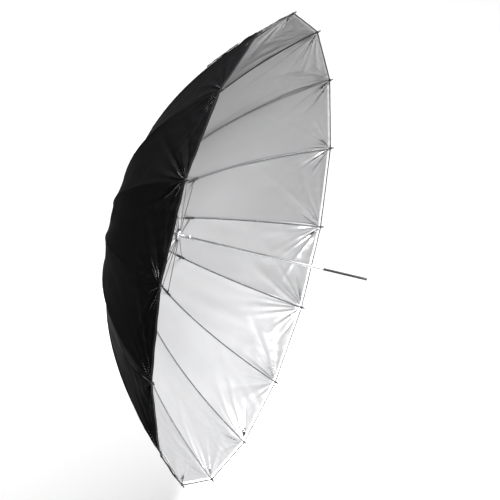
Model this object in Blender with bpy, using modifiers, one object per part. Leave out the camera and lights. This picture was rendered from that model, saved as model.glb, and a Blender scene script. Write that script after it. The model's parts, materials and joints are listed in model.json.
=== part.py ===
"""Umbrella reflector for studio lighting, open: sixteen ribs on a tube shaft, with a shallow cloth bowl.

The shaft lies along X and the bowl opens towards +X. The origin is on the shaft's axis, where a light's
clamp grips the tube. Each rib works in its own plane through the shaft, which is that rib's local XZ plane.
All sizes are in metres.
"""

import math

import bmesh
import bpy
from mathutils import Matrix, Vector

# Canopy and ribs
RIB_COUNT = 16
CANOPY_RADIUS = 0.76
CANOPY_DEPTH = 0.4374
CANOPY_POWER = 2.1
CLOTH_THICKNESS = 0.0012
CLOTH_CLEARANCE = 0.00035
RIB_STATION = 0.076
RIB_ROD_RADIUS = 0.00175
RIB_PAST_HEM = 0.009
RIB_FLEX_GAP = 0.001
TIP_RADIUS = 0.0023
TIP_LENGTH = 0.0075
TIP_NOSE_LENGTH = 0.001
TIP_NOSE_SHARE = 0.7
TIP_SHOULDER = 0.0002

# Places along the shaft
CROWN_TO_CLAMP = 0.655
CLAMP_TO_SHAFT_END = 0.161
SHAFT_BEHIND_CROWN = 0.0125
STOP_TO_SHAFT_END = 0.050

# Shaft and the pieces on it
SHAFT_RADIUS = 0.004
SHAFT_WALL = 0.0008
SLIDING_GAP = 0.00035
HINGE_CIRCLE = 0.0125
HUB_RADIUS = 0.0155
HUB_CORE_RADIUS = 0.0085
WIRE_RADIUS = 0.0006
EYE_RADIUS = 0.0018
EYE_THICKNESS = 0.0013
EYE_HOLE_RADIUS = 0.00095
EYE_SHANK_SHARE = 1.4
SHANK_LENGTH = 0.006
SLOT_WIDTH = 0.002
GROOVE_WIDTH = 0.0019
CROWN_FRONT = 0.004
COLLAR_LENGTH = 0.007
COLLAR_INSET = 0.0015
EDGE = 0.0005
PLUG_HEAD = 0.002
PLUG_DEPTH = 0.010
CAP_RADIUS = 0.013
CAP_LENGTH = 0.012
CAP_PROFILE = ((0, 1), (0.17, 1), (0.5, 0.75), (0.92, 0.5), (1, 0.38))
PATCH_RADIUS = 0.028
PATCH_THICKNESS = 0.001
RUNNER_SLEEVE_RADIUS = 0.0058
RUNNER_SLEEVE_LENGTH = 0.034
RUNNER_GRIP_RADIUS = 0.0085
RUNNER_GRIP_LENGTH = 0.005
RUNNER_GRIP_EDGE = 0.0008
RUNNER_GRIP_SLOPE = 0.0012

# Bracket on the rib, and the stretcher that it carries
BRACKET_AT_RADIUS = 0.3484
BRACKET_DROP = 0.0075
FERRULE_RADIUS = 0.0027
FERRULE_LENGTH = 0.040
TAB_THICKNESS = 0.0014
TAB_RADIUS = 0.0021
PIN_RADIUS = 0.0007
PIN_GAP = 0.0003
STRETCHER_ROD_RADIUS = 0.0013
FORK_CHEEK = 0.0009
FORK_GAP = 0.00035
FORK_LENGTH = 0.008
FORK_CHEEK_SHARE = 1.8
FORK_BRIDGE_SHARE = 1.6
FORK_BRIDGE_IN = 0.003
FORK_BRIDGE_OUT = 0.001
RIVET_HEAD = 0.0004

# Catch spring and runner stop
CATCH_LENGTH = 0.022
CATCH_WIDTH = 0.003
CATCH_RISE = 0.003
CATCH_STRIP = 0.0008
CATCH_SLOT_GAP = 0.0004
STOP_RADIUS = 0.001
STOP_RISE = 0.0016
CATCH_HEEL = 0.002
CATCH_TOE = 0.0015
CATCH_NOSE = 0.0006
CATCH_FLAT = 0.0030
CATCH_POST = 0.0012
CATCH_SLOPE_START = 0.0042

# Tie strap
STRAP_LENGTH = 0.15
STRAP_WIDTH = 0.018
STRAP_THICKNESS = 0.0012
STRAP_TO_HEM = 0.055
STRAP_GAP = 0.0008

# Clearances, and how far one working shape runs into or past another
FIXED_GAP = 0.0003
CLOTH_GAP = 0.0004
CUT_PAST = 0.002
JOIN_INSET = 0.98

SMOOTH_ANGLE = math.radians(35)
RIB_STEP = 2 * math.pi / RIB_COUNT

crown_x = -CROWN_TO_CLAMP
cloth_offset = RIB_ROD_RADIUS + CLOTH_CLEARANCE

for old in list(bpy.data.objects):
    bpy.data.objects.remove(old)
reflector = bpy.data.collections.new("umbrella_reflector")
cutters = bpy.data.collections.new("cutters")
cutters.hide_render = True
for collection in (reflector, cutters):
    bpy.context.scene.collection.children.link(collection)


# ---- The rib's curve, in the rib's plane

def rib_point(radius, offset=0.0):
    """The rib's centre line at this distance from the shaft, moved outwards by offset, as (x, z)."""
    share = radius / CANOPY_RADIUS
    slope = CANOPY_DEPTH * CANOPY_POWER / CANOPY_RADIUS * share ** (CANOPY_POWER - 1)
    length = math.hypot(1, slope)
    x = crown_x + CANOPY_DEPTH * share**CANOPY_POWER
    return Vector((x - offset / length, radius + offset * slope / length))


def rib_direction(radius):
    """The rib's direction, away from the crown, as (x, z)."""
    step = 1e-4
    return (rib_point(radius + step) - rib_point(radius - step)).normalized()


def stations(start, end):
    """Distances from the shaft that rib and cloth share, so that both bend at the same places."""
    count = round(CANOPY_RADIUS / RIB_STATION)
    kept = (shank_end, flex_radius)
    even = [CANOPY_RADIUS * i / count for i in range(1, count)]
    shared = [r for r in even if min(abs(r - k) for k in kept) > RIB_STATION / 5]
    return [start] + [r for r in sorted(shared + list(kept)) if start < r < end] + [end]


crown_pivot = Vector((crown_x, HINGE_CIRCLE))
tangent = rib_direction(BRACKET_AT_RADIUS)
inward = Vector((tangent.y, -tangent.x))
bracket_pivot = rib_point(BRACKET_AT_RADIUS) + inward * BRACKET_DROP
stretcher_length = (bracket_pivot - crown_pivot).length
runner_pivot = Vector((2 * bracket_pivot.x - crown_x, HINGE_CIRCLE))
stretcher_lean = math.atan2(runner_pivot.x - bracket_pivot.x, bracket_pivot.y - HINGE_CIRCLE)
flex_radius = BRACKET_AT_RADIUS + (FERRULE_LENGTH / 2 + 2 * RIB_FLEX_GAP) * tangent.y
flex_point = rib_point(flex_radius)
shank_end = HINGE_CIRCLE + SHANK_LENGTH
rib_end = rib_point(CANOPY_RADIUS) + rib_direction(CANOPY_RADIUS) * RIB_PAST_HEM
shaft_end_x = CLAMP_TO_SHAFT_END
runner_mouth_x = runner_pivot.x + CROWN_FRONT + RUNNER_SLEEVE_LENGTH + RUNNER_GRIP_LENGTH


# ---- Shared ways of making a piece

def material(name, colour, roughness, metallic=0.0):
    made = bpy.data.materials.new(name)
    made.use_nodes = True
    shader = made.node_tree.nodes["Principled BSDF"]
    shader.inputs["Base Color"].default_value = (*colour, 1)
    shader.inputs["Roughness"].default_value = roughness
    shader.inputs["Metallic"].default_value = metallic
    made.diffuse_color = (*colour, 1)
    return made


def place(obj, collection):
    for old in list(obj.users_collection):
        old.objects.unlink(obj)
    collection.objects.link(obj)
    return obj


def new_object(name, data, finish=None, collection=reflector):
    obj = bpy.data.objects.new(name, data)
    collection.objects.link(obj)
    if finish:
        data.materials.append(finish)
    return obj


def shade(mesh):
    mesh.shade_smooth()
    mesh.set_sharp_from_angle(angle=SMOOTH_ANGLE)


def turned(name, outline, steps, finish=None, collection=reflector, ring=False):
    """A piece turned about the shaft. Its outline runs from +X to -X down the outer side, as (x, radius)."""
    mesh = bpy.data.meshes.new(name)
    ends = len(outline) if ring else len(outline) - 1
    edges = [(i, (i + 1) % len(outline)) for i in range(ends)]
    mesh.from_pydata([(radius, 0, x) for x, radius in outline], edges, [])
    obj = new_object(name, mesh, finish, collection)
    obj.rotation_euler = (0, math.pi / 2, 0)
    screw = obj.modifiers.new("turn", "SCREW")
    screw.steps = screw.render_steps = steps
    screw.use_merge_vertices = True
    screw.merge_threshold = 1e-5
    return obj


def cylinder(radius, start, end, sides=8):
    """A round bar from start to end, which are 3-D points. It is a working shape for a join or a cut."""
    start, end = Vector(start), Vector(end)
    along = end - start
    bpy.ops.mesh.primitive_cylinder_add(vertices=sides, radius=radius, depth=along.length)
    obj = place(bpy.context.object, cutters)
    obj.location = (start + end) / 2
    obj.rotation_mode = "QUATERNION"
    obj.rotation_quaternion = along.to_track_quat("Z", "Y")
    return obj


def bar(start, end, depth, width):
    """A square-edged bar from start to end in the rib's plane, depth across it and width along local Y."""
    start, end = Vector(start), Vector(end)
    along = end - start
    bpy.ops.mesh.primitive_cube_add(size=1)
    obj = place(bpy.context.object, cutters)
    obj.scale = (depth, width, along.length)
    obj.location = (start.x + along.x / 2, 0, start.y + along.y / 2)
    obj.rotation_euler = (0, math.atan2(along.x, along.y), 0)
    return obj


def rod(points, radius):
    """A round rod along points in the rib's plane, as a mesh."""
    curve = bpy.data.curves.new("rod", "CURVE")
    curve.dimensions = "3D"
    spline = curve.splines.new("POLY")
    spline.points.add(len(points) - 1)
    for point, (x, z) in zip(spline.points, points):
        point.co = (x, 0, z, 1)
    curve.bevel_depth = radius
    curve.bevel_resolution = 2
    curve.use_fill_caps = True
    guide = new_object("rod_guide", curve, collection=cutters)
    mesh = evaluated_mesh(guide)
    bpy.data.objects.remove(guide)
    return new_object("rod", mesh, collection=cutters)


def evaluated_mesh(obj):
    bpy.context.view_layer.update()
    mesh = bpy.data.meshes.new_from_object(obj.evaluated_get(bpy.context.evaluated_depsgraph_get()))
    work = bmesh.new()
    work.from_mesh(mesh)
    bmesh.ops.remove_doubles(work, verts=work.verts, dist=1e-6)
    work.to_mesh(mesh)
    work.free()
    return mesh


def combined(name, added, cut, origin, finish):
    """One mesh from the added shapes less the cut ones, with its zero at origin, which is (x, z)."""
    base = added[0]
    for shape in added[1:] + cut:
        step = base.modifiers.new("join" if shape in added else "cut", "BOOLEAN")
        step.operation = "UNION" if shape in added else "DIFFERENCE"
        step.object = shape
    mesh = evaluated_mesh(base)
    mesh.transform(base.matrix_world)
    mesh.transform(Matrix.Translation((-origin[0], 0, -origin[1])))
    mesh.name = name
    mesh.materials.clear()
    mesh.materials.append(finish)
    shade(mesh)
    for shape in added + cut:
        bpy.data.objects.remove(shape)
    return mesh


def in_plane(point, across=0.0):
    """A point of the rib's plane, or beside it, in 3-D."""
    return (point[0], across, point[1])


def eye(pivot, direction):
    """The flat eye and shank that hinge a rod on a wire ring: what is added, and what is cut."""
    half = EYE_THICKNESS / 2
    added = [
        cylinder(EYE_RADIUS, in_plane(pivot, -half), in_plane(pivot, half)),
        bar(pivot, pivot + direction * (SHANK_LENGTH + CUT_PAST), EYE_SHANK_SHARE * EYE_RADIUS,
            EYE_THICKNESS * JOIN_INSET),
    ]
    cut = [cylinder(EYE_HOLE_RADIUS, in_plane(pivot, -EYE_THICKNESS), in_plane(pivot, EYE_THICKNESS))]
    return added, cut


# ---- Shaft, with the slot that the catch spring stands in

tube_metal = material("tube_metal", (0.42, 0.42, 0.44), 0.28, 1.0)
spring_steel = material("spring_steel", (0.55, 0.55, 0.56), 0.3, 1.0)
black_plastic = material("black_plastic", (0.02, 0.02, 0.022), 0.45)
glass_fibre = material("glass_fibre", (0.05, 0.05, 0.055), 0.35)
grey_steel = material("grey_steel", (0.4, 0.4, 0.42), 0.35, 1.0)
nickel = material("nickel", (0.6, 0.6, 0.6), 0.35, 1.0)
cloth = material("cloth", (0.35, 0.35, 0.36), 0.5)
webbing = material("webbing", (0.03, 0.03, 0.03), 0.8)

bore = SHAFT_RADIUS - SHAFT_WALL
shaft = turned(
    "shaft",
    [(shaft_end_x, SHAFT_RADIUS), (crown_x - SHAFT_BEHIND_CROWN, SHAFT_RADIUS),
     (crown_x - SHAFT_BEHIND_CROWN, bore), (shaft_end_x, bore)],
    16, tube_metal, ring=True,
)
catch_front_x = runner_mouth_x + CATCH_SLOT_GAP
catch_slot = bar(
    (catch_front_x - CATCH_SLOT_GAP / 2, -SHAFT_RADIUS), (catch_front_x + CATCH_LENGTH, -SHAFT_RADIUS),
    SHAFT_RADIUS, CATCH_WIDTH + 2 * CATCH_SLOT_GAP,
)
catch_slot.name = "catch_slot_cutter"
stop_x = shaft_end_x - STOP_TO_SHAFT_END
stop_reach = SHAFT_RADIUS + STOP_RISE
stop_hole = cylinder(STOP_RADIUS + FIXED_GAP, (stop_x, -2 * SHAFT_RADIUS, 0), (stop_x, 2 * SHAFT_RADIUS, 0))
stop_hole.name = "stop_hole_cutter"
for tool in (catch_slot, stop_hole):
    cut = shaft.modifiers.new("cut", "BOOLEAN")
    cut.operation = "DIFFERENCE"
    cut.object = tool

plug_x = shaft_end_x + FIXED_GAP
plug_top_x = plug_x + PLUG_HEAD
shaft_end_cap = turned(
    "shaft_end_cap",
    [(plug_top_x, 0), (plug_top_x, SHAFT_RADIUS - EDGE), (plug_top_x - EDGE, SHAFT_RADIUS),
     (plug_x, SHAFT_RADIUS), (plug_x, bore - FIXED_GAP), (plug_x - PLUG_DEPTH, bore - FIXED_GAP),
     (plug_x - PLUG_DEPTH, 0)],
    16, black_plastic,
)

runner_stop = new_object(
    "runner_stop",
    combined("runner_stop", [cylinder(STOP_RADIUS, (stop_x, -stop_reach, 0), (stop_x, stop_reach, 0))], [],
             (stop_x, 0), spring_steel),
)
runner_stop.location = (stop_x, 0, 0)


# ---- Crown, runner and their wire rings: both hubs have a slot for each rib and a groove for the wire

def wire_ring(name, x):
    bpy.ops.mesh.primitive_torus_add(
        major_radius=HINGE_CIRCLE, minor_radius=WIRE_RADIUS, major_segments=24, minor_segments=6
    )
    ring = place(bpy.context.object, reflector)
    ring.name = name
    ring.location = (x, 0, 0)
    ring.rotation_euler = (0, math.pi / 2, 0)
    ring.data.shade_smooth()
    ring.data.materials.append(spring_steel)
    return ring


def slotted(hub, back, front):
    """Cuts a slot for each rib, from the hub's core out, and returns the cutter."""
    low_x, high_x = back - CUT_PAST, front + CUT_PAST
    mesh = bpy.data.meshes.new(f"{hub.name}_slot_cutter")
    work = bmesh.new()
    reach = HUB_RADIUS + CUT_PAST
    for number in range(RIB_COUNT):
        made = bmesh.ops.create_cube(work, size=1)["verts"]
        bmesh.ops.scale(work, vec=(high_x - low_x, SLOT_WIDTH, reach - HUB_CORE_RADIUS), verts=made)
        centre = ((low_x + high_x) / 2, 0, (reach + HUB_CORE_RADIUS) / 2)
        bmesh.ops.translate(work, vec=centre, verts=made)
        bmesh.ops.transform(work, matrix=Matrix.Rotation(-number * RIB_STEP, 4, "X"), verts=made)
    work.to_mesh(mesh)
    work.free()
    blades = new_object(mesh.name, mesh, collection=cutters)
    cut = hub.modifiers.new("slots", "BOOLEAN")
    cut.operation = "DIFFERENCE"
    cut.object = blades
    return blades


def hub_outline(x, back, front):
    """The grooved rim that both hubs share, from front to back. It holds the wire at x."""
    groove = GROOVE_WIDTH / 2
    floor = HINGE_CIRCLE - groove
    return [
        (front, HUB_RADIUS - EDGE), (front - EDGE, HUB_RADIUS), (x + groove, HUB_RADIUS), (x + groove, floor),
        (x - groove, floor), (x - groove, HUB_RADIUS), (back + EDGE, HUB_RADIUS), (back, HUB_RADIUS - EDGE),
    ]


seat = SHAFT_RADIUS + FIXED_GAP
crown_back = crown_x - RIB_ROD_RADIUS
crown_front = crown_x + CROWN_FRONT
collar_x = crown_front + COLLAR_LENGTH
collar_radius = HUB_CORE_RADIUS - COLLAR_INSET
crown = turned(
    "crown",
    [(collar_x, seat), (collar_x, collar_radius - EDGE), (collar_x - EDGE, collar_radius),
     (crown_front, collar_radius)]
    + hub_outline(crown_x, crown_back, crown_front) + [(crown_back, seat)],
    32, black_plastic, ring=True,
)
slotted(crown, crown_back, crown_front)
wire_ring("crown_wire", crown_x)

runner_bore = SHAFT_RADIUS + SLIDING_GAP
runner_x = runner_pivot.x
sleeve_x = runner_x + CROWN_FRONT
grip_x = sleeve_x + RUNNER_SLEEVE_LENGTH
runner = turned(
    "runner",
    [(runner_mouth_x, runner_bore), (runner_mouth_x, RUNNER_GRIP_RADIUS - RUNNER_GRIP_EDGE),
     (runner_mouth_x - RUNNER_GRIP_EDGE, RUNNER_GRIP_RADIUS),
     (grip_x + RUNNER_GRIP_SLOPE, RUNNER_GRIP_RADIUS),
     (grip_x, RUNNER_SLEEVE_RADIUS), (sleeve_x, RUNNER_SLEEVE_RADIUS)]
    + hub_outline(runner_x, runner_x - CROWN_FRONT, sleeve_x)
    + [(runner_x - CROWN_FRONT, runner_bore)],
    32, nickel, ring=True,
)
runner_blades = slotted(runner, runner_x - CROWN_FRONT, sleeve_x)
runner_wire = wire_ring("runner_wire", runner_x)


# ---- Canopy, centre patch and top cap

hole = SHAFT_RADIUS + CLOTH_GAP
rings = stations(hole, CANOPY_RADIUS)
inner = [rib_point(r, cloth_offset) for r in rings]
outer = [rib_point(r, cloth_offset + CLOTH_THICKNESS) for r in rings]
canopy = turned("canopy", list(reversed(outer)) + inner, RIB_COUNT, cloth, ring=True)

patch_front = crown_x - cloth_offset - CLOTH_THICKNESS - CLOTH_GAP
patch_back = patch_front - PATCH_THICKNESS
centre_patch = turned(
    "centre_patch",
    [(patch_front, hole), (patch_front, PATCH_RADIUS), (patch_back, PATCH_RADIUS), (patch_back, hole)],
    24, webbing, ring=True,
)
cap_front = patch_back - FIXED_GAP
cap_outline = [(cap_front - CAP_LENGTH * share, CAP_RADIUS * width) for share, width in CAP_PROFILE]
socket_x = crown_x - SHAFT_BEHIND_CROWN - CLOTH_GAP
top_cap = turned(
    "top_cap",
    [(socket_x, 0), (socket_x, seat), (cap_front, seat), *cap_outline, (cap_front - CAP_LENGTH, 0)],
    24, black_plastic,
)


# ---- Ribs: the inner part hinges on the crown, and the outer part bends on it just past the bracket

inner_points = [rib_point(r) for r in stations(shank_end, flex_radius)]
inner_points[-1] = flex_point - rib_direction(flex_radius) * RIB_FLEX_GAP / 2
ferrule_half = tangent * FERRULE_LENGTH / 2
bow_reach = math.hypot(FERRULE_LENGTH, RIB_STATION) / 2
bow_ends = [rib_point(BRACKET_AT_RADIUS + side * bow_reach * tangent.y) for side in (-1, 1)]
ferrule_bow = (rib_point(BRACKET_AT_RADIUS) - (bow_ends[0] + bow_ends[1]) / 2).length
ferrule_inset = FERRULE_RADIUS - RIB_ROD_RADIUS + ferrule_bow
ferrule_centre = rib_point(BRACKET_AT_RADIUS) + inward * ferrule_inset
tab_half = TAB_THICKNESS / 2
eye_added, eye_cut = eye(crown_pivot, Vector((0, 1)))
inner_mesh = combined(
    "rib_inner",
    [rod(inner_points, RIB_ROD_RADIUS), *eye_added,
     cylinder(FERRULE_RADIUS, in_plane(ferrule_centre - ferrule_half),
              in_plane(ferrule_centre + ferrule_half)),
     bar(ferrule_centre, bracket_pivot, 2 * TAB_RADIUS * JOIN_INSET, TAB_THICKNESS * JOIN_INSET),
     cylinder(TAB_RADIUS, in_plane(bracket_pivot, -tab_half), in_plane(bracket_pivot, tab_half))],
    [*eye_cut, cylinder(PIN_RADIUS + PIN_GAP, in_plane(bracket_pivot, -CUT_PAST),
                        in_plane(bracket_pivot, CUT_PAST))],
    crown_pivot, glass_fibre,
)

outer_points = [rib_point(r) for r in stations(flex_radius, CANOPY_RADIUS)] + [rib_end]
outer_points[0] = flex_point + rib_direction(flex_radius) * RIB_FLEX_GAP / 2
end_direction = rib_direction(CANOPY_RADIUS)
tip_start = rib_end - end_direction * (TIP_LENGTH - TIP_NOSE_LENGTH)
tip_shoulder = rib_end + end_direction * TIP_SHOULDER
tip_nose = rib_end + end_direction * TIP_NOSE_LENGTH
outer_mesh = combined(
    "rib_outer",
    [rod(outer_points, RIB_ROD_RADIUS),
     cylinder(TIP_RADIUS, in_plane(tip_start), in_plane(tip_shoulder)),
     cylinder(TIP_RADIUS * TIP_NOSE_SHARE, in_plane(tip_shoulder - end_direction * TIP_NOSE_LENGTH),
              in_plane(tip_nose))],
    [], flex_point, glass_fibre,
)


# ---- Stretchers: a fork and pin on the bracket, an eye on the runner's wire

along = Vector((0, -1))
fork = Vector((0, 0))
cheek_in = tab_half + FORK_GAP
cheek_out = cheek_in + FORK_CHEEK
rivet_end = cheek_out + RIVET_HEAD
runner_eye = along * stretcher_length
cheeks = []
for side in (-1, 1):
    middle = side * (cheek_in + cheek_out) / 2
    cheeks.append(cylinder(TAB_RADIUS, in_plane(fork, side * cheek_in), in_plane(fork, side * cheek_out)))
    cheek = bar(fork, along * FORK_LENGTH, FORK_CHEEK_SHARE * TAB_RADIUS, FORK_CHEEK * JOIN_INSET)
    cheek.location.y = middle
    cheeks.append(cheek)
eye_added, eye_cut = eye(runner_eye, -along)
stretcher_mesh = combined(
    "stretcher",
    [rod([along * (FORK_LENGTH - CUT_PAST), runner_eye - along * SHANK_LENGTH], STRETCHER_ROD_RADIUS),
     bar(along * (FORK_LENGTH - FORK_BRIDGE_IN), along * (FORK_LENGTH + FORK_BRIDGE_OUT),
         FORK_BRIDGE_SHARE * TAB_RADIUS, 2 * cheek_out * JOIN_INSET**2),
     *cheeks, cylinder(PIN_RADIUS, in_plane(fork, -rivet_end), in_plane(fork, rivet_end)),
     *eye_added],
    eye_cut, (0, 0), grey_steel,
)

for number in range(RIB_COUNT):
    label = f"{number + 1:02d}"
    plane = new_object(f"rib_plane_{label}", None)
    plane.rotation_euler = (-number * RIB_STEP, 0, 0)
    rib_inner = new_object(f"rib_inner_{label}", inner_mesh)
    rib_inner.parent = plane
    rib_inner.location = in_plane(crown_pivot)
    rib_outer = new_object(f"rib_outer_{label}", outer_mesh)
    rib_outer.parent = rib_inner
    rib_outer.location = in_plane(flex_point - crown_pivot)
    stretcher = new_object(f"stretcher_{label}", stretcher_mesh)
    stretcher.parent = rib_inner
    stretcher.location = in_plane(bracket_pivot - crown_pivot)
    stretcher.rotation_euler = (0, -stretcher_lean, 0)


# ---- Catch spring: a bent strip that stands out of the slot behind the runner

heel = Vector((catch_front_x + CATCH_LENGTH - CATCH_HEEL, -(bore - CATCH_STRIP - CATCH_SLOT_GAP)))
back_z = heel.y + CATCH_STRIP
crest_z = -(SHAFT_RADIUS + CATCH_RISE)
inner_crest_z = crest_z + 3 * CATCH_NOSE
post_x = catch_front_x + FIXED_GAP
catch_outline = [
    heel,
    (heel.x + CATCH_TOE, heel.y + CATCH_STRIP / 4),
    (heel.x + CATCH_TOE, back_z),
    (heel.x - CATCH_HEEL, back_z),
    (catch_front_x + CATCH_SLOPE_START, inner_crest_z),
    (catch_front_x + CATCH_POST, inner_crest_z),
    (catch_front_x + CATCH_POST, back_z),
    (post_x, back_z),
    (post_x, crest_z + CATCH_NOSE),
    (post_x + CATCH_NOSE, crest_z),
    (catch_front_x + CATCH_FLAT, crest_z),
]
catch_curve = bpy.data.curves.new("catch_spring", "CURVE")
catch_curve.dimensions = "2D"
catch_curve.fill_mode = "BOTH"
catch_curve.extrude = CATCH_WIDTH / 2
flat = catch_curve.splines.new("POLY")
flat.points.add(len(catch_outline) - 1)
flat.use_cyclic_u = True
for point, (x, z) in zip(flat.points, catch_outline):
    point.co = (x - heel.x, z - heel.y, 0, 1)
catch_spring = new_object("catch_spring", catch_curve, spring_steel)
catch_spring.location = in_plane(heel)
catch_spring.rotation_euler = (math.pi / 2, 0, 0)


# ---- Tie strap: lies on the cloth's outside along the first rib, near the hem

strap_offset = cloth_offset + CLOTH_THICKNESS + STRAP_THICKNESS / 2 + STRAP_GAP
strap_stations = 6
strap_mesh = bpy.data.meshes.new("tie_strap")
work = bmesh.new()
bmesh.ops.create_grid(work, x_segments=2, y_segments=strap_stations, size=0.5)
for vertex in work.verts:
    radius = CANOPY_RADIUS - STRAP_TO_HEM - (0.5 - vertex.co.y) * STRAP_LENGTH * end_direction.y
    x, z = rib_point(radius, strap_offset)
    vertex.co = (x - flex_point.x, vertex.co.x * STRAP_WIDTH, z - flex_point.y)
bmesh.ops.recalc_face_normals(work, faces=work.faces)
work.to_mesh(strap_mesh)
work.free()
tie_strap = new_object("tie_strap", strap_mesh, webbing)
thicken = tie_strap.modifiers.new("thickness", "SOLIDIFY")
thicken.thickness = STRAP_THICKNESS
thicken.offset = 0
tie_strap.parent = bpy.data.objects["rib_outer_01"]

runner_axis = new_object("runner_axis", None)
runner_axis.location = in_plane(runner_pivot)
bpy.context.view_layer.update()
for moving in (runner, runner_wire, runner_blades):
    moving.parent = runner_axis
    moving.matrix_parent_inverse = runner_axis.matrix_world.inverted()

for tool in cutters.objects:
    tool.hide_render = True
    tool.display_type = "WIRE"
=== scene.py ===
"""The finished look of a studio umbrella reflector, sixteen ribs, black cloth outside and silver inside.

The shaft lies along X with the bowl open towards +X. Each rib works in a plane through the shaft. A rib's
pieces are made in the first rib's plane, which is XZ with the rib at +Z, and turned about the shaft.
"""

import json
import math

import bmesh
import bpy
import numpy as np
from mathutils import Matrix, Vector


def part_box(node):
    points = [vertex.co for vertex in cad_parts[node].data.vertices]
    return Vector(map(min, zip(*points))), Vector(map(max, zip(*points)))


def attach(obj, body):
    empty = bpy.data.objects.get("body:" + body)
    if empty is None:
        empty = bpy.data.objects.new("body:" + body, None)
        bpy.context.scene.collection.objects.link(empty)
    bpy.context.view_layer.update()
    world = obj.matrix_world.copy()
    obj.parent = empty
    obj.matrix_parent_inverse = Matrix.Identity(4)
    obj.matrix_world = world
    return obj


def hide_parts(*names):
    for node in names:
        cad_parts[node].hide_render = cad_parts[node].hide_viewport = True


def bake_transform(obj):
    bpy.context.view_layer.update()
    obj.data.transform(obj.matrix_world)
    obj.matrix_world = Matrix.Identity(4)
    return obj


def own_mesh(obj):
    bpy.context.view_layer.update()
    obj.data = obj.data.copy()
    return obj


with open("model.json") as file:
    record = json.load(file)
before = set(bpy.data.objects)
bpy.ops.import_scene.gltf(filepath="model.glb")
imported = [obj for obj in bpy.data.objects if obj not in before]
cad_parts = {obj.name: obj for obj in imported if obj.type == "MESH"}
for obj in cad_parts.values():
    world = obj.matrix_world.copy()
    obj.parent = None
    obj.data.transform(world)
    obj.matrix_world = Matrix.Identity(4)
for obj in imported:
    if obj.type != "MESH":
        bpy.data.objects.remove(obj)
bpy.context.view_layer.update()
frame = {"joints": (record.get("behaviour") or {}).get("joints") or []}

joints = {joint["name"]: joint for joint in frame["joints"]}


# ---- Shaft
# One straight drawn tube, 8 mm across, chromed up to where the light's clamp grips it and coloured black
# past it. The slot for the catch and the cross hole for the stop pin are milled through its wall.

MILLIMETRE = 0.001

shaft_low, shaft_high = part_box("shaft")
shaft_radius = shaft_high.y
shaft_wall = 0.8 * MILLIMETRE
dark_end_from_x = 0.022
stop_low, stop_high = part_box("runner_stop")
catch_low, catch_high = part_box("catch_spring")


def surface(name, colour, roughness, metallic=0.0):
    """A new material, its node tree and its shader."""
    made = bpy.data.materials.new(name)
    made.use_nodes = True
    shader = made.node_tree.nodes["Principled BSDF"]
    shader.inputs["Base Color"].default_value = (*colour, 1)
    shader.inputs["Roughness"].default_value = roughness
    shader.inputs["Metallic"].default_value = metallic
    made.diffuse_color = (*colour, 1)
    return made, made.node_tree, shader


def node(tree, kind, inputs=(), **settings):
    """A new node with its settings. Inputs are (name, value or socket)."""
    made = tree.nodes.new(kind)
    for setting, value in settings.items():
        setattr(made, setting, value)
    for socket, value in inputs:
        if isinstance(value, bpy.types.NodeSocket):
            tree.links.new(value, made.inputs[socket])
        else:
            made.inputs[socket].default_value = value
    return made


def stretched(tree, scales, layer=None):
    """Coordinates on the piece, stretched by a scale for each axis. Cloth gives its own measured layer."""
    if layer:
        start = node(tree, "ShaderNodeUVMap", uv_map=layer).outputs["UV"]
    else:
        start = node(tree, "ShaderNodeTexCoord").outputs["Object"]
    return node(tree, "ShaderNodeMapping", [("Vector", start), ("Scale", scales)]).outputs["Vector"]


def noise(tree, where, scale, detail=3.0, roughness=0.55):
    made = node(tree, "ShaderNodeTexNoise", [("Vector", where), ("Scale", scale), ("Detail", detail),
                                             ("Roughness", roughness)])
    return made.outputs["Fac"]


def between(tree, value, low, high, start=0.0, end=1.0):
    """The value's stretch from low to high, spread over start to end."""
    made = node(tree, "ShaderNodeMapRange", [("Value", value), ("From Min", low), ("From Max", high),
                                             ("To Min", start), ("To Max", end)])
    return made.outputs["Result"]


def mixed(tree, share, first, second):
    """A colour between two, each a colour or a socket."""
    made = node(tree, "ShaderNodeMix", data_type="RGBA")
    for socket, value in (("Factor", share), ("A", first), ("B", second)):
        target = [i for i in made.inputs if i.name == socket and i.enabled][0]
        if isinstance(value, bpy.types.NodeSocket):
            tree.links.new(value, target)
        else:
            target.default_value = value if socket == "Factor" else (*value, 1)
    return [o for o in made.outputs if o.enabled][0]


def raised(tree, shader, height, distance, strength):
    made = node(tree, "ShaderNodeBump", [("Height", height), ("Distance", distance), ("Strength", strength)])
    tree.links.new(made.outputs["Normal"], shader.inputs["Normal"])


def drawn_tube_finish():
    """Chrome with fine draw lines along the tube, then plain black with small scuffs past the clamp."""
    made, tree, shader = surface("drawn_tube", (0.78, 0.78, 0.8), 0.12, 1.0)
    lines = noise(tree, stretched(tree, (3, 900, 900)), 1.0, 2.0)
    smears = noise(tree, stretched(tree, (9, 60, 60)), 1.0, 4.0)
    along = node(tree, "ShaderNodeSeparateXYZ", [("Vector", stretched(tree, (1, 1, 1)))]).outputs["X"]
    # Past the clamp the tube is coloured plain black and is not metallic.
    black = between(tree, along, dark_end_from_x - 0.0006, dark_end_from_x)
    chrome = mixed(tree, lines, (0.78, 0.78, 0.79), (0.92, 0.92, 0.93))
    scuffs = between(tree, smears, 0.62, 0.74)
    dark_end = mixed(tree, scuffs, (0.012, 0.012, 0.013), (0.05, 0.05, 0.052))
    tree.links.new(mixed(tree, black, chrome, dark_end), shader.inputs["Base Color"])
    tree.links.new(between(tree, black, 0, 1, 1, 0), shader.inputs["Metallic"])
    worn = between(tree, smears, 0.35, 0.75, 0.20, 0.34)
    tree.links.new(worn, shader.inputs["Roughness"])
    raised(tree, shader, lines, 0.00002, 0.25)
    return made


drawn_tube = drawn_tube_finish()


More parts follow.
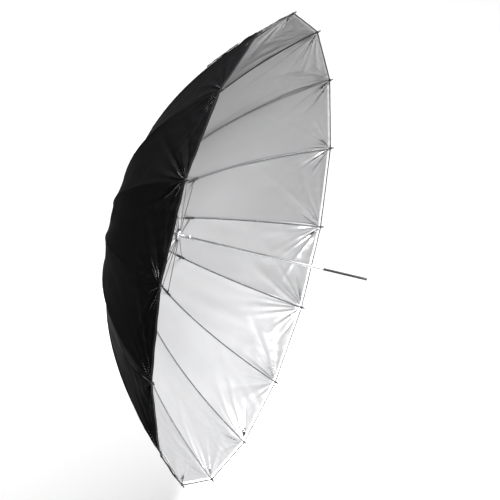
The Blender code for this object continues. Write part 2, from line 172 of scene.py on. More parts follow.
def add_piece(name, mesh, *finishes, sharp=35):
    """An object for a mesh, in the scene, with its materials and its edges sharp past that angle."""
    mesh.name = name
    piece = bpy.data.objects.new(name, mesh)
    bpy.context.scene.collection.objects.link(piece)
    for finish in finishes:
        mesh.materials.append(finish)
    mesh.shade_smooth()
    mesh.set_sharp_from_angle(angle=math.radians(sharp))
    return piece


def eased(outline, cut, closed, steps=3):
    """The outline with each corner turned into a short curve that starts cut away from it."""
    made = []
    last = len(outline) - 1
    for number, corner in enumerate(outline):
        if not closed and number in (0, last):
            made.append(corner)
            continue
        here = Vector(corner)
        before = Vector(outline[number - 1]) - here
        after = Vector(outline[(number + 1) % len(outline)]) - here
        reach = min(cut, 0.4 * before.length, 0.4 * after.length)
        start = here + before.normalized() * reach
        end = here + after.normalized() * reach
        for step in range(steps + 1):
            t = step / steps
            made.append(tuple(start * (1 - t) ** 2 + here * 2 * t * (1 - t) + end * t**2))
    return made


def finished(work, name):
    """The mesh of a bmesh, which is then freed."""
    mesh = bpy.data.meshes.new(name)
    work.to_mesh(mesh)
    work.free()
    return mesh


def turned(outline, steps=64, cut=0.0003, ring=False):
    """A mesh turned about the shaft from (x, radius) points. A ring's outline closes on itself."""
    points = eased(outline, cut, ring)
    work = bmesh.new()
    made = [work.verts.new((x, 0, radius)) for x, radius in points]
    pairs = list(zip(made, made[1:])) + ([(made[-1], made[0])] if ring else [])
    edges = [work.edges.new(pair) for pair in pairs]
    bmesh.ops.spin(work, geom=made + edges, cent=(0, 0, 0), axis=(1, 0, 0), angle=2 * math.pi, steps=steps)
    bmesh.ops.remove_doubles(work, verts=work.verts, dist=1e-6)
    bmesh.ops.recalc_face_normals(work, faces=work.faces)
    return finished(work, "turned")


def milled(piece, cutters):
    """Cuts the cutters out of the piece for good, and removes them."""
    for cutter in cutters:
        cut = piece.modifiers.new("milled", "BOOLEAN")
        cut.operation = "DIFFERENCE"
        cut.object = cutter
    bpy.context.view_layer.update()
    done = bpy.data.meshes.new_from_object(piece.evaluated_get(bpy.context.evaluated_depsgraph_get()))
    piece.modifiers.clear()
    piece.data = done
    for cutter in cutters:
        bpy.data.objects.remove(cutter)


def block(low, high):
    """A square-cornered cutter between two corners."""
    work = bmesh.new()
    bmesh.ops.create_cube(work, size=1)
    bmesh.ops.scale(work, vec=Vector(high) - Vector(low), verts=work.verts)
    bmesh.ops.translate(work, vec=(Vector(high) + Vector(low)) / 2, verts=work.verts)
    return add_piece("block", finished(work, "block"))


def drill(radius, start, end):
    """A round cutter from start to end."""
    start, end = Vector(start), Vector(end)
    along = end - start
    work = bmesh.new()
    bmesh.ops.create_cone(work, cap_ends=True, segments=24, radius1=radius, radius2=radius,
                          depth=along.length)
    place = Matrix.Translation((start + end) / 2) @ along.to_track_quat("Z", "Y").to_matrix().to_4x4()
    bmesh.ops.transform(work, matrix=place, verts=work.verts)
    return add_piece("drill", finished(work, "drill"))


bore = shaft_radius - shaft_wall
tube = add_piece("shaft_tube", turned(
    [(shaft_high.x, shaft_radius), (shaft_low.x, shaft_radius), (shaft_low.x, bore), (shaft_high.x, bore)],
    ring=True,
), drawn_tube)
slot_room = 0.4 * MILLIMETRE
stop_room = 0.2 * MILLIMETRE
milled(tube, [
    block((catch_low.x - slot_room / 2, catch_low.y - slot_room, -2 * shaft_radius),
          (catch_high.x + slot_room, catch_high.y + slot_room, -bore / 2)),
    drill((stop_high.x - stop_low.x) / 2 + stop_room,
          ((stop_low.x + stop_high.x) / 2, -2 * shaft_radius, 0),
          ((stop_low.x + stop_high.x) / 2, 2 * shaft_radius, 0)),
])
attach(tube, "shaft")
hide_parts("shaft")


# ---- Shaft end cap and runner stop
# A moulded plug is pressed into the tube's free end. A turned steel pin goes through the tube ahead of it
# and keeps the runner on the shaft.

def moulded_finish(name, tone, roughness):
    """Moulded black plastic: a fine spark texture, slow changes of gloss, and paler rubbed patches."""
    made, tree, shader = surface(name, (tone, tone, tone * 1.05), roughness)
    grain = noise(tree, stretched(tree, (1, 1, 1)), 2600, 2.0)
    patches = noise(tree, stretched(tree, (1, 1, 1)), 70, 4.0)
    rubbed = between(tree, patches, 0.55, 0.8)
    worn = mixed(tree, rubbed, (tone, tone, tone * 1.05), (tone * 2.4, tone * 2.4, tone * 2.5))
    tree.links.new(worn, shader.inputs["Base Color"])
    tree.links.new(between(tree, patches, 0.3, 0.75, roughness - 0.07, roughness + 0.12),
                   shader.inputs["Roughness"])
    raised(tree, shader, grain, 0.00003, 0.3)
    return made


def bright_steel_finish(name, colour, roughness):
    """Plated steel with fine polish lines and a few duller spots."""
    polished = (colour, colour, colour * 1.02)
    duller = (colour * 0.6, colour * 0.59, colour * 0.57)
    made, tree, shader = surface(name, polished, roughness, 1.0)
    spots = noise(tree, stretched(tree, (1, 1, 1)), 420, 5.0)
    dull = between(tree, spots, 0.52, 0.75)
    tree.links.new(mixed(tree, dull, polished, duller), shader.inputs["Base Color"])
    tree.links.new(between(tree, spots, 0.3, 0.8, roughness - 0.06, roughness + 0.16),
                   shader.inputs["Roughness"])
    raised(tree, shader, spots, 0.00002, 0.25)
    return made


moulded_black = moulded_finish("moulded_black", 0.014, 0.42)
bright_steel = bright_steel_finish("bright_steel", 0.62, 0.26)

cap_low, cap_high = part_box("shaft_end_cap")
cap_step = 2 * MILLIMETRE
plug_gap = 0.1 * MILLIMETRE
end_cap = add_piece("end_cap", turned([
    (cap_high.x, 0), (cap_high.x, shaft_radius - 0.8 * MILLIMETRE),
    (cap_high.x - 0.7 * MILLIMETRE, shaft_radius), (cap_high.x - cap_step, shaft_radius),
    (cap_high.x - cap_step, bore - plug_gap), (cap_low.x, bore - plug_gap), (cap_low.x, 0),
], steps=48), moulded_black)
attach(end_cap, "shaft")
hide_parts("shaft_end_cap")


def bar_faces(rings, sides):
    """The faces of a bar made of rings of points, closed at both ends."""
    faces = []
    for ring in range(rings - 1):
        for side in range(sides):
            a = ring * sides + side
            b = ring * sides + (side + 1) % sides
            faces.append((a, b, b + sides, a + sides))
    faces.append(tuple(reversed(range(sides))))
    faces.append(tuple(range((rings - 1) * sides, rings * sides)))
    return faces


def swept(path, radii, sides=16):
    """Points and faces of a round bar along path, (x, z) points in the rib's plane, with a radius at each."""
    path = np.array(path, float)
    radii = np.broadcast_to(np.asarray(radii, float), len(path))
    along = np.gradient(path, axis=0)
    along /= np.linalg.norm(along, axis=1)[:, None]
    turn = np.linspace(0, 2 * math.pi, sides, endpoint=False)
    across = np.stack([-along[:, 1], along[:, 0]], 1)
    points = np.zeros((len(path), sides, 3))
    points[:, :, 0] = path[:, None, 0] + radii[:, None] * np.cos(turn) * across[:, None, 0]
    points[:, :, 1] = radii[:, None] * np.sin(turn)
    points[:, :, 2] = path[:, None, 1] + radii[:, None] * np.cos(turn) * across[:, None, 1]
    return points.reshape(-1, 3), bar_faces(len(path), sides)


def bar_with_ends(start, end, radius, rounding, steps=3):
    """Path and radii of a straight bar whose two ends are rounded over."""
    start, end = Vector(start), Vector(end)
    along = (end - start).normalized()
    turns = [math.pi / 2 * step / steps for step in range(steps + 1)]
    path = [start + along * rounding * (1 - math.cos(turn)) for turn in turns]
    radii = [radius - rounding * (1 - math.sin(turn)) for turn in turns]
    back = [end - (point - start) for point in reversed(path)]
    return path + back, radii + radii[::-1]


def shape_mesh(shapes):
    """One mesh of several closed shapes, each (points, faces, number of its finish)."""
    mesh = bpy.data.meshes.new("shapes")
    points = np.concatenate([shape[0] for shape in shapes])
    faces, slots, start = [], [], 0
    for shape_points, shape_faces, finish in shapes:
        faces += [tuple(start + corner for corner in face) for face in shape_faces]
        slots += [finish] * len(shape_faces)
        start += len(shape_points)
    mesh.from_pydata(points.tolist(), [], faces)
    mesh.polygons.foreach_set("material_index", slots)
    work = bmesh.new()
    work.from_mesh(mesh)
    bmesh.ops.recalc_face_normals(work, faces=work.faces)
    work.to_mesh(mesh)
    work.free()
    return mesh


pin_length = stop_high.y - stop_low.y
pin_radius = (stop_high.x - stop_low.x) / 2
pin_path, pin_radii = bar_with_ends((0, -pin_length / 2), (0, pin_length / 2), pin_radius, 0.35 * MILLIMETRE)
stop_mesh = shape_mesh([(*swept(pin_path, pin_radii, 24), 0)])
stop_mesh.transform(Matrix.Rotation(-math.pi / 2, 4, "X"))
stop_mesh.transform(Matrix.Translation(((stop_low.x + stop_high.x) / 2, 0, 0)))
stop_pin = add_piece("stop_pin", stop_mesh, bright_steel)
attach(stop_pin, "shaft")
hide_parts("runner_stop")


# ---- Crown and its wire
# The crown is a moulded hub fixed on the shaft's back end. Each rib's eye sits in a slot of its rim, and one
# steel wire threads all sixteen eyes in the groove round the rim.

RIB_COUNT = 16
RIB_STEP = 2 * math.pi / RIB_COUNT
numbers = range(RIB_COUNT)

crown_pivot = Vector(joints["canopy_fold"]["pos_m"])
hinge_circle = crown_pivot.z
crown_low, crown_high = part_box("crown")
hub_radius = crown_high.z
hub_core_radius = 8.5 * MILLIMETRE
slot_width = 2 * MILLIMETRE
groove_width = 1.9 * MILLIMETRE
wire_radius = 0.6 * MILLIMETRE
hub_front = 4 * MILLIMETRE
collar_radius = hub_core_radius - 1.5 * MILLIMETRE
seat = shaft_radius + 0.1 * MILLIMETRE


def grooved_rim(x, back, front):
    """The rim that both hubs share, from front to back, with the wire's groove at x."""
    groove = groove_width / 2
    floor = hinge_circle - groove
    return [(front, hub_radius), (x + groove, hub_radius), (x + groove, floor), (x - groove, floor),
            (x - groove, hub_radius), (back, hub_radius)]


def rib_slots(low_x, high_x):
    """One cutter for each rib, from the hub's core out past its rim."""
    cutters = []
    for number in numbers:
        cutter = block((low_x, -slot_width / 2, hub_core_radius),
                       (high_x, slot_width / 2, hub_radius + 3 * MILLIMETRE))
        cutter.rotation_euler = (-number * RIB_STEP, 0, 0)
        cutters.append(cutter)
    return cutters


def joined_cutters(cutters):
    """One object of several cutters that don't touch."""
    bpy.context.view_layer.update()
    work = bmesh.new()
    for cutter in cutters:
        cutter.data.transform(cutter.matrix_world)
        work.from_mesh(cutter.data)
        bpy.data.objects.remove(cutter)
    return add_piece("cutters", finished(work, "cutters"))


def wire_ring(name, x, body, replaced):
    """A steel wire closed in a ring round a hub, in the groove at x."""
    turns = 96
    sides = 10
    work = bmesh.new()
    rings = []
    for step in range(turns):
        angle = 2 * math.pi * step / turns
        ring = []
        for side in range(sides):
            round_angle = 2 * math.pi * side / sides
            radius = hinge_circle + wire_radius * math.cos(round_angle)
            ring.append(work.verts.new((x + wire_radius * math.sin(round_angle),
                                        radius * math.sin(angle), radius * math.cos(angle))))
        rings.append(ring)
    for step in range(turns):
        here, after = rings[step], rings[(step + 1) % turns]
        for side in range(sides):
            beside = (side + 1) % sides
            work.faces.new((here[side], here[beside], after[beside], after[side]))
    bmesh.ops.recalc_face_normals(work, faces=work.faces)
    wire = add_piece(name, finished(work, name), bright_steel)
    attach(wire, body)
    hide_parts(replaced)


crown_front = crown_pivot.x + hub_front
crown_hub = add_piece("crown_hub", turned(
    [(crown_high.x, seat), (crown_high.x, collar_radius), (crown_front, collar_radius)]
    + grooved_rim(crown_pivot.x, crown_low.x, crown_front) + [(crown_low.x, seat)],
    steps=96, ring=True,
), moulded_black)
milled(crown_hub, [joined_cutters(rib_slots(crown_low.x - hub_front, crown_front + hub_front / 2))])
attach(crown_hub, "shaft")
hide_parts("crown")
wire_ring("crown_threading_wire", crown_pivot.x, "shaft", "crown_wire")


# ---- Top cap
# A moulded cap pushed over the tube's back end. It clamps the cloth against the crown, and is the knob one
# sees in the middle of the black side.

top_low, top_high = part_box("top_cap")
top_radius = top_high.z
top_length = top_high.x - top_low.x
socket_x = shaft_low.x - 0.4 * MILLIMETRE
moulded_gloss = moulded_finish("moulded_gloss", 0.012, 0.28)
dome = [(top_high.x - top_length * share, top_radius * width) for share, width in
        ((0.0, 1.0), (0.12, 1.0), (0.17, 0.93), (0.22, 0.93), (0.30, 0.88), (0.45, 0.72), (0.62, 0.56),
         (0.80, 0.47), (0.93, 0.42), (1.0, 0.30), (1.0, 0.0))]
top_knob = add_piece("top_knob", turned(
    [(socket_x, 0), (socket_x, seat), (top_high.x, seat)] + dome, steps=72, cut=0.0004), moulded_gloss)
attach(top_knob, "shaft")
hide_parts("top_cap")


# ---- Ribs
# Sixteen pultruded glass-fibre rods. Each has a flat steel eye at the crown, a crimped steel ferrule with a
# tab for its stretcher, and a moulded tip that holds the cloth's corner. The rod bends just past the ferrule.

bowl_radius = 0.76
bowl_depth = 0.4374
bowl_power = 2.1
rod_radius = 1.75 * MILLIMETRE
rod_past_hem = 9 * MILLIMETRE
tip_length = 17.5 * MILLIMETRE
tip_radius = 2.8 * MILLIMETRE
ferrule_radius = 2.7 * MILLIMETRE
ferrule_length = 40 * MILLIMETRE
crimp_depth = 0.35 * MILLIMETRE
tab_radius = 2.1 * MILLIMETRE
tab_half = 0.7 * MILLIMETRE
eye_radius = 1.8 * MILLIMETRE
eye_hole_radius = 0.95 * MILLIMETRE
eye_half = 0.65 * MILLIMETRE
shank_length = 6 * MILLIMETRE
bend_length = 24 * MILLIMETRE
rod_step = 0.012

bracket_pivot = Vector(joints["stretcher_fold_01"]["pos_m"])
flex_pivot = Vector(joints["rib_flex_01"]["pos_m"])
runner_pivot = Vector(joints["runner_hinge"]["pos_m"])
flex_radius = flex_pivot.z


def rib_curve(radius, offset=0.0):
    """The rib's centre line at these distances from the shaft, moved out by offset, as x and z."""
    radius = np.asarray(radius, float)
    share = radius / bowl_radius
    slope = bowl_depth * bowl_power / bowl_radius * share ** (bowl_power - 1)
    length = np.hypot(1, slope)
    x = crown_pivot.x + bowl_depth * share**bowl_power
    return x - offset / length, radius + offset * slope / length


def rib_point(radius, offset=0.0):
    x, z = rib_curve(radius, offset)
    return Vector((float(x), float(z)))


def rib_direction(radius):
    step = 1e-4
    return (rib_point(radius + step) - rib_point(radius - step)).normalized()


def glass_fibre_finish():
    """Grey pultruded rod: long glass strands under a clear, slightly scratched resin skin."""
    made, tree, shader = surface("glass_fibre", (0.1, 0.1, 0.103), 0.3)
    strands = noise(tree, stretched(tree, (900, 2600, 900)), 1.0, 1.0)
    streaks = noise(tree, stretched(tree, (40, 900, 40)), 1.0, 4.0)
    tree.links.new(mixed(tree, streaks, (0.06, 0.06, 0.062), (0.14, 0.14, 0.145)),
                   shader.inputs["Base Color"])
    tree.links.new(between(tree, streaks, 0.3, 0.7, 0.24, 0.42), shader.inputs["Roughness"])
    shader.inputs["Coat Weight"].default_value = 0.35
    shader.inputs["Coat Roughness"].default_value = 0.18
    raised(tree, shader, strands, 0.00002, 0.2)
    return made


def black_steel_finish():
    """Blackened pressed steel, worn to bare metal in small patches along its high places."""
    made, tree, shader = surface("black_steel", (0.03, 0.03, 0.032), 0.38, 0.7)
    wear = noise(tree, stretched(tree, (1, 1, 1)), 380, 5.0)
    bare = between(tree, wear, 0.62, 0.7)
    tree.links.new(mixed(tree, bare, (0.03, 0.03, 0.032), (0.32, 0.31, 0.30)), shader.inputs["Base Color"])
    tree.links.new(between(tree, wear, 0.35, 0.75, 0.32, 0.5), shader.inputs["Roughness"])
    raised(tree, shader, wear, 0.00003, 0.3)
    return made


glass_fibre = glass_fibre_finish()
black_steel = black_steel_finish()


def washer(centre, hole, radius, half, sides=28, edge=0.00012):
    """Points and faces of a flat ring across the rib's plane, its edges eased. centre is (x, z)."""
    profile = [(hole + edge, half), (radius - edge, half), (radius, half - edge), (radius, edge - half),
               (radius - edge, -half), (hole + edge, -half), (hole, edge - half), (hole, half - edge)]
    points, faces = [], []
    for side in range(sides):
        angle = 2 * math.pi * side / sides
        points += [(centre[0] + r * math.cos(angle), y, centre[1] + r * math.sin(angle)) for r, y in profile]
    count = len(profile)
    for side in range(sides):
        here, after = side * count, (side + 1) % sides * count
        for step in range(count):
            beside = (step + 1) % count
            faces.append((here + step, here + beside, after + beside, after + step))
    return np.array(points), faces


def tapered_plate(start, end, start_half, end_half, low_y, high_y, edge=0.00012):
    """A flat bar in the rib's plane from start to end, its long edges eased, between two values of y."""
    start, end = Vector(start), Vector(end)
    along = (end - start).normalized()
    across = Vector((-along.y, along.x))
    points = []
    for centre, half in ((start, start_half), (end, end_half)):
        section = [(half, low_y + edge), (half - edge, low_y), (edge - half, low_y), (-half, low_y + edge),
                   (-half, high_y - edge), (edge - half, high_y), (half - edge, high_y),
                   (half, high_y - edge)]
        for sideways, y in section:
            point = centre + across * sideways
            points.append((point.x, y, point.y))
    return np.array(points), bar_faces(2, 8)


def eye_shapes(pivot, direction, finish):
    """The pressed eye at a rod's end: a ring round the wire and a shank that grips the rod."""
    pivot = Vector(pivot)
    shank = swept([pivot + direction * (shank_length - 0.0012 + s * 0.004) for s in (0, 0.15, 0.85, 1)],
                  [rod_radius * w for w in (0.95, 1.16, 1.16, 1.02)], 20)
    return [(*washer(pivot, eye_hole_radius, eye_radius, eye_half), finish),
            (*tapered_plate(pivot + direction * eye_hole_radius * 1.05, pivot + direction * shank_length,
                            0.9 * MILLIMETRE, 1.3 * MILLIMETRE, -eye_half, eye_half), finish),
            (*shank, finish)]


def ferrule_shapes():
    """The crimped tube on the rod, the tab under it, and two crimps that bite the rod."""
    bracket_radius = flex_radius - ferrule_length / 2 * rib_direction(flex_radius).y - 0.0008
    tangent = rib_direction(bracket_radius)
    inward = Vector((tangent.y, -tangent.x))
    centre = rib_point(bracket_radius) + inward * (ferrule_radius - rod_radius)
    path, radii = [], []
    steps = 48
    for step in range(steps + 1):
        share = step / steps
        place = (share - 0.5) * ferrule_length
        crimps = sum(math.exp(-((place - side * 0.012) / 0.0016) ** 2) for side in (-1, 1))
        ends = min(1.0, min(share, 1 - share) * ferrule_length / 0.0009)
        path.append(centre + tangent * place)
        radii.append(ferrule_radius * (0.82 + 0.18 * math.sin(ends * math.pi / 2)) - crimp_depth * crimps)
    pin = Vector((bracket_pivot.x, bracket_pivot.z))
    foot = rib_point(bracket_radius) + inward * (ferrule_radius - rod_radius + 0.3 * ferrule_radius)
    return [(*swept(path, radii, 24), 1),
            (*tapered_plate(foot, pin, 3.4 * MILLIMETRE, tab_radius, -tab_half, tab_half), 1),
            (*washer(pin, 0.75 * MILLIMETRE, tab_radius, tab_half), 1)]


rod_start = rib_point(hinge_circle + shank_length - 0.002)
rod_radii_at = np.concatenate([
    np.arange(rod_start.y, flex_radius - rod_step, rod_step),
    np.arange(flex_radius - rod_step / 2, flex_radius + bend_length, rod_step / 4),
    np.arange(flex_radius + bend_length + rod_step, bowl_radius, rod_step),
])
rod_path = [rib_point(r) for r in rod_radii_at]
end_direction = rib_direction(bowl_radius)
rod_end = rib_point(bowl_radius) + end_direction * rod_past_hem
rod_path.append(rod_end - end_direction * 0.001)
rod_shape = swept(rod_path, rod_radius, 14)

fittings = shape_mesh(eye_shapes((crown_pivot.x, crown_pivot.z), Vector((0, 1)), 0) + ferrule_shapes())
fittings_finishes = (bright_steel, black_steel)

tip_profile = [(0.0, 0.62), (0.0004, 0.80), (0.0026, 1.22), (0.0050, 1.45), (0.0064, 1.50), (0.0076, 1.50),
               (0.0090, 1.34), (0.0098, 1.02), (0.0106, 0.84), (0.0120, 0.80), (0.0156, 0.76), (0.0166, 0.62),
               (0.0172, 0.42), (0.0175, 0.15)]
tip_start = rod_end - end_direction * (tip_length - 0.001)
tip_shape = swept([tip_start + end_direction * place for place, _ in tip_profile],
                  [tip_radius * width for _, width in tip_profile], 20)
thread_turns = 5
thread_radius = 0.35 * MILLIMETRE


def thread_winding(place, turns=thread_turns):
    """Turns of strong thread round the rod at this distance from the shaft, tying the cloth to it."""
    shapes = []
    direction = rib_direction(place)
    for turn in range(turns):
        shift = (turn - (turns - 1) / 2) * 2 * thread_radius * 0.92
        centre = rib_point(place) + direction * shift
        loop = [centre - direction * thread_radius, centre - direction * thread_radius * 0.5, centre,
                centre + direction * thread_radius * 0.5, centre + direction * thread_radius]
        grow = [rod_radius * 0.98 + thread_radius * k for k in (0.0, 0.75, 1.0, 0.75, 0.0)]
        shapes.append((*swept(loop, grow, 20), 1))
    return shapes


tip_mesh = shape_mesh([(*tip_shape, 0)] + thread_winding(bowl_radius - 0.0055))
tie_places = (0.47, 0.585, 0.69)
tie_mesh = shape_mesh([shape for place in tie_places for shape in thread_winding(place, 3)])
inner_tie_mesh = shape_mesh([shape for place in (0.12, 0.24) for shape in thread_winding(place, 3)])


def thread_finish(name, tone):
    """Twisted polyester thread."""
    made, tree, shader = surface(name, (tone, tone, tone), 0.6)
    twist = node(tree, "ShaderNodeTexWave", [("Vector", stretched(tree, (1, 1, 1))), ("Scale", 900.0),
                                             ("Distortion", 1.5)], bands_direction="DIAGONAL")
    tree.links.new(mixed(tree, twist.outputs["Fac"], (tone * 0.6,) * 3, (tone * 1.3,) * 3),
                   shader.inputs["Base Color"])
    shader.inputs["Sheen Weight"].default_value = 0.3
    raised(tree, shader, twist.outputs["Fac"], 0.00008, 0.4)
    return made


black_thread = thread_finish("black_thread", 0.03)
grey_thread = thread_finish("grey_thread", 0.30)


def turned_to(piece, number):
    """Turns a piece made in the first rib's plane to another rib."""
    piece.rotation_euler = (-number * RIB_STEP, 0, 0)


def copied(piece, name):
    """Another object with the same mesh."""
    twin = bpy.data.objects.new(name, piece.data)
    bpy.context.scene.collection.objects.link(twin)
    return twin


fittings_piece = add_piece("rib_fittings_01", fittings, *fittings_finishes)
tip_piece = add_piece("rib_tip_01", tip_mesh, moulded_black, black_thread)
tie_piece = add_piece("rib_ties_01", tie_mesh, grey_thread, grey_thread)
inner_tie_piece = add_piece("rib_inner_ties_01", inner_tie_mesh, grey_thread, grey_thread)

for number in numbers:
    label = f"{number + 1:02d}"
    inner_body, outer_body = f"rib_inner_{label}", f"rib_outer_{label}"
    rod = add_piece(f"rib_rod_{label}", shape_mesh([(*rod_shape, 0)]), glass_fibre)
    turned_to(rod, number)
    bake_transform(rod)
    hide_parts(inner_body, outer_body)
    for made, body in ((fittings_piece, inner_body), (tip_piece, outer_body), (tie_piece, outer_body),
                       (inner_tie_piece, inner_body)):
        piece = copied(made, made.name.replace("01", label)) if number else made
        turned_to(piece, number)
        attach(piece, body)


# ---- Canopy
# Sixteen gores of thin coated cloth, black outside and silver inside, sewn together over the ribs and bound
# with black tape at the hem. The hem pulls on each rib tip, so creases fan out of every corner.

cloth_thickness = 0.5 * MILLIMETRE
cloth_gap = 0.4 * MILLIMETRE
cloth_inside = rod_radius + cloth_gap
cloth_outside = cloth_inside + cloth_thickness
seam_half = 2.4 * MILLIMETRE
seam_rise = 0.45 * MILLIMETRE
tape_width = 7 * MILLIMETRE
tape_rise = 0.4 * MILLIMETRE
black_edge = 2.4 * MILLIMETRE
pinned_to_rib = 0.007
sag_depth = 0.004
flap_length = 0.009
flap_thickness = 0.35 * MILLIMETRE
half_step = RIB_STEP / 2
hem_half = bowl_radius * math.sin(half_step)
LAYER = "cloth"

arc_at = np.linspace(0, bowl_radius, 400)
arc_slope = bowl_depth * bowl_power / bowl_radius * (arc_at / bowl_radius) ** (bowl_power - 1)
arc_step = np.hypot(math.cos(half_step), arc_slope) * (arc_at[1] - arc_at[0])
arc_length = np.concatenate([[0], np.cumsum((arc_step[1:] + arc_step[:-1]) / 2)])


def eased_step(value):
    value = np.clip(value, 0, 1)
    return value * value * (3 - 2 * value)


def ripples(along, across, seed, waves=14):
    """Smooth uneven ripples about one unit long, from -1 to 1."""
    draw = np.random.RandomState(seed)
    total = np.zeros_like(along)
    for turn, size, start in zip(draw.uniform(0, math.pi, waves), draw.uniform(0.6, 1.7, waves),
                                 draw.uniform(0, 2 * math.pi, waves)):
        total += np.sin(2 * math.pi * size * (along * math.cos(turn) + across * math.sin(turn)) + start)
    return total / math.sqrt(waves)


def corner_creases(distance, angle, seed):
    """The fan of creases that a corner's pull makes, as a height."""
    draw = np.random.RandomState(seed)
    total = np.zeros_like(distance)
    count = 7
    for number in range(count):
        middle = math.radians(7 + 72 * (number + draw.uniform(0.15, 0.85)) / count)
        width = math.radians(draw.uniform(2.4, 5.2))
        reach = draw.uniform(0.030, 0.085)
        height = draw.uniform(0.0014, 0.0046) * draw.choice([-1, 1, 1])
        curl = draw.uniform(-0.9, 0.9)
        fade = distance / reach * np.exp(1 - distance / reach)
        total += height * fade * np.exp(-((angle - middle - curl * distance) / width) ** 2)
    return total


def cloth_height(gore, radius, share):
    """How far the cloth stands out from its taut shape: sag between the ribs, creases and ripples."""
    hem_distance = arc_length[-1] - np.interp(radius, arc_at, arc_length)
    half = radius * math.sin(half_step)
    across = (2 * share - 1) * half
    from_rib = half - np.abs(across)
    pinned = eased_step(from_rib / pinned_to_rib)
    held_hem = 0.2 + 0.8 * eased_step(hem_distance / 0.03)
    height = np.zeros_like(across)
    for side in (0, 1):
        beside = hem_half + across if side == 0 else hem_half - across
        distance = np.hypot(hem_distance, beside)
        angle = np.arctan2(hem_distance, beside)
        height += corner_creases(distance, angle, 40 + 2 * gore + side) * held_hem
    near_hem = np.exp(-hem_distance / 0.13)
    height += 0.0010 * near_hem * ripples(hem_distance / 0.085, across / 0.05, 90 + gore) * held_hem
    patches = np.clip(ripples(hem_distance / 0.16, across / 0.16, 120 + gore), 0, 1)
    crinkles = ripples(hem_distance / 0.026, across / 0.018, 150 + gore)
    height += 0.00035 * near_hem * patches * crinkles * held_hem
    height += 0.0006 * ripples(hem_distance / 0.35, across / 0.09, 180 + gore)
    middle = radius / bowl_radius
    height -= sag_depth * 4 * share * (1 - share) * np.clip(4 * middle * (1 - middle), 0, 1) ** 1.2
    return height * pinned


def cloth_point(gore, radius, share, offset):
    """Points of a gore at these distances from the shaft and shares of the way to the next rib."""
    x, z = rib_curve(radius, offset)
    slope = bowl_depth * bowl_power / bowl_radius * (radius / bowl_radius) ** (bowl_power - 1)
    length = np.hypot(math.cos(half_step), slope)
    height = cloth_height(gore, radius, share)
    return np.stack([
        x - height * math.cos(half_step) / length,
        (2 * share - 1) * z * math.sin(half_step),
        z * math.cos(half_step) + height * slope / length,
    ], -1)


def cloth_normal(gore, radius, share):
    """The outward normal of the cloth, read from the shape itself, so that neighbours shade alike."""
    step, turn = 1e-4, 1e-4
    down = (cloth_point(gore, radius + step, share, cloth_inside)
            - cloth_point(gore, radius - step, share, cloth_inside))
    sideways = (cloth_point(gore, radius, share + turn, cloth_inside)
                - cloth_point(gore, radius, share - turn, cloth_inside))
    normal = np.cross(sideways, down)
    normal /= np.linalg.norm(normal, axis=-1, keepdims=True)
    return normal * np.where(normal[..., :1] > 0, -1, 1)


def turned_about_shaft(points, angle):
    """Points or directions turned from a gore's own frame to its rib's, towards +Y by angle."""
    turned_points = points.copy()
    turned_points[..., 1] = points[..., 1] * math.cos(angle) + points[..., 2] * math.sin(angle)
    turned_points[..., 2] = points[..., 2] * math.cos(angle) - points[..., 1] * math.sin(angle)
    return turned_points


def half_columns(radius, count, crowding=1.25):
    """Distances from the rib line across half a gore: the seam's edge, then evenly on to the middle."""
    half = radius * math.sin(half_step)
    seam = np.minimum(seam_half, 0.35 * half)
    spread = (np.arange(1, count + 1) / count) ** crowding
    columns = [np.zeros_like(radius), seam * 0.7, seam, seam * 1.12]
    columns += [seam * 1.12 + share * (half - seam * 1.12) for share in spread]
    return np.stack(columns, -1) / (2 * half[..., None])


def edge_of_grid(rows, width):
    """The points round the edge of a grid of rows, each width points long, in order."""
    return (list(range(width))
            + [row * width + width - 1 for row in range(1, rows)]
            + [(rows - 1) * width + column for column in range(width - 2, -1, -1)]
            + [row * width for row in range(rows - 2, 0, -1)])


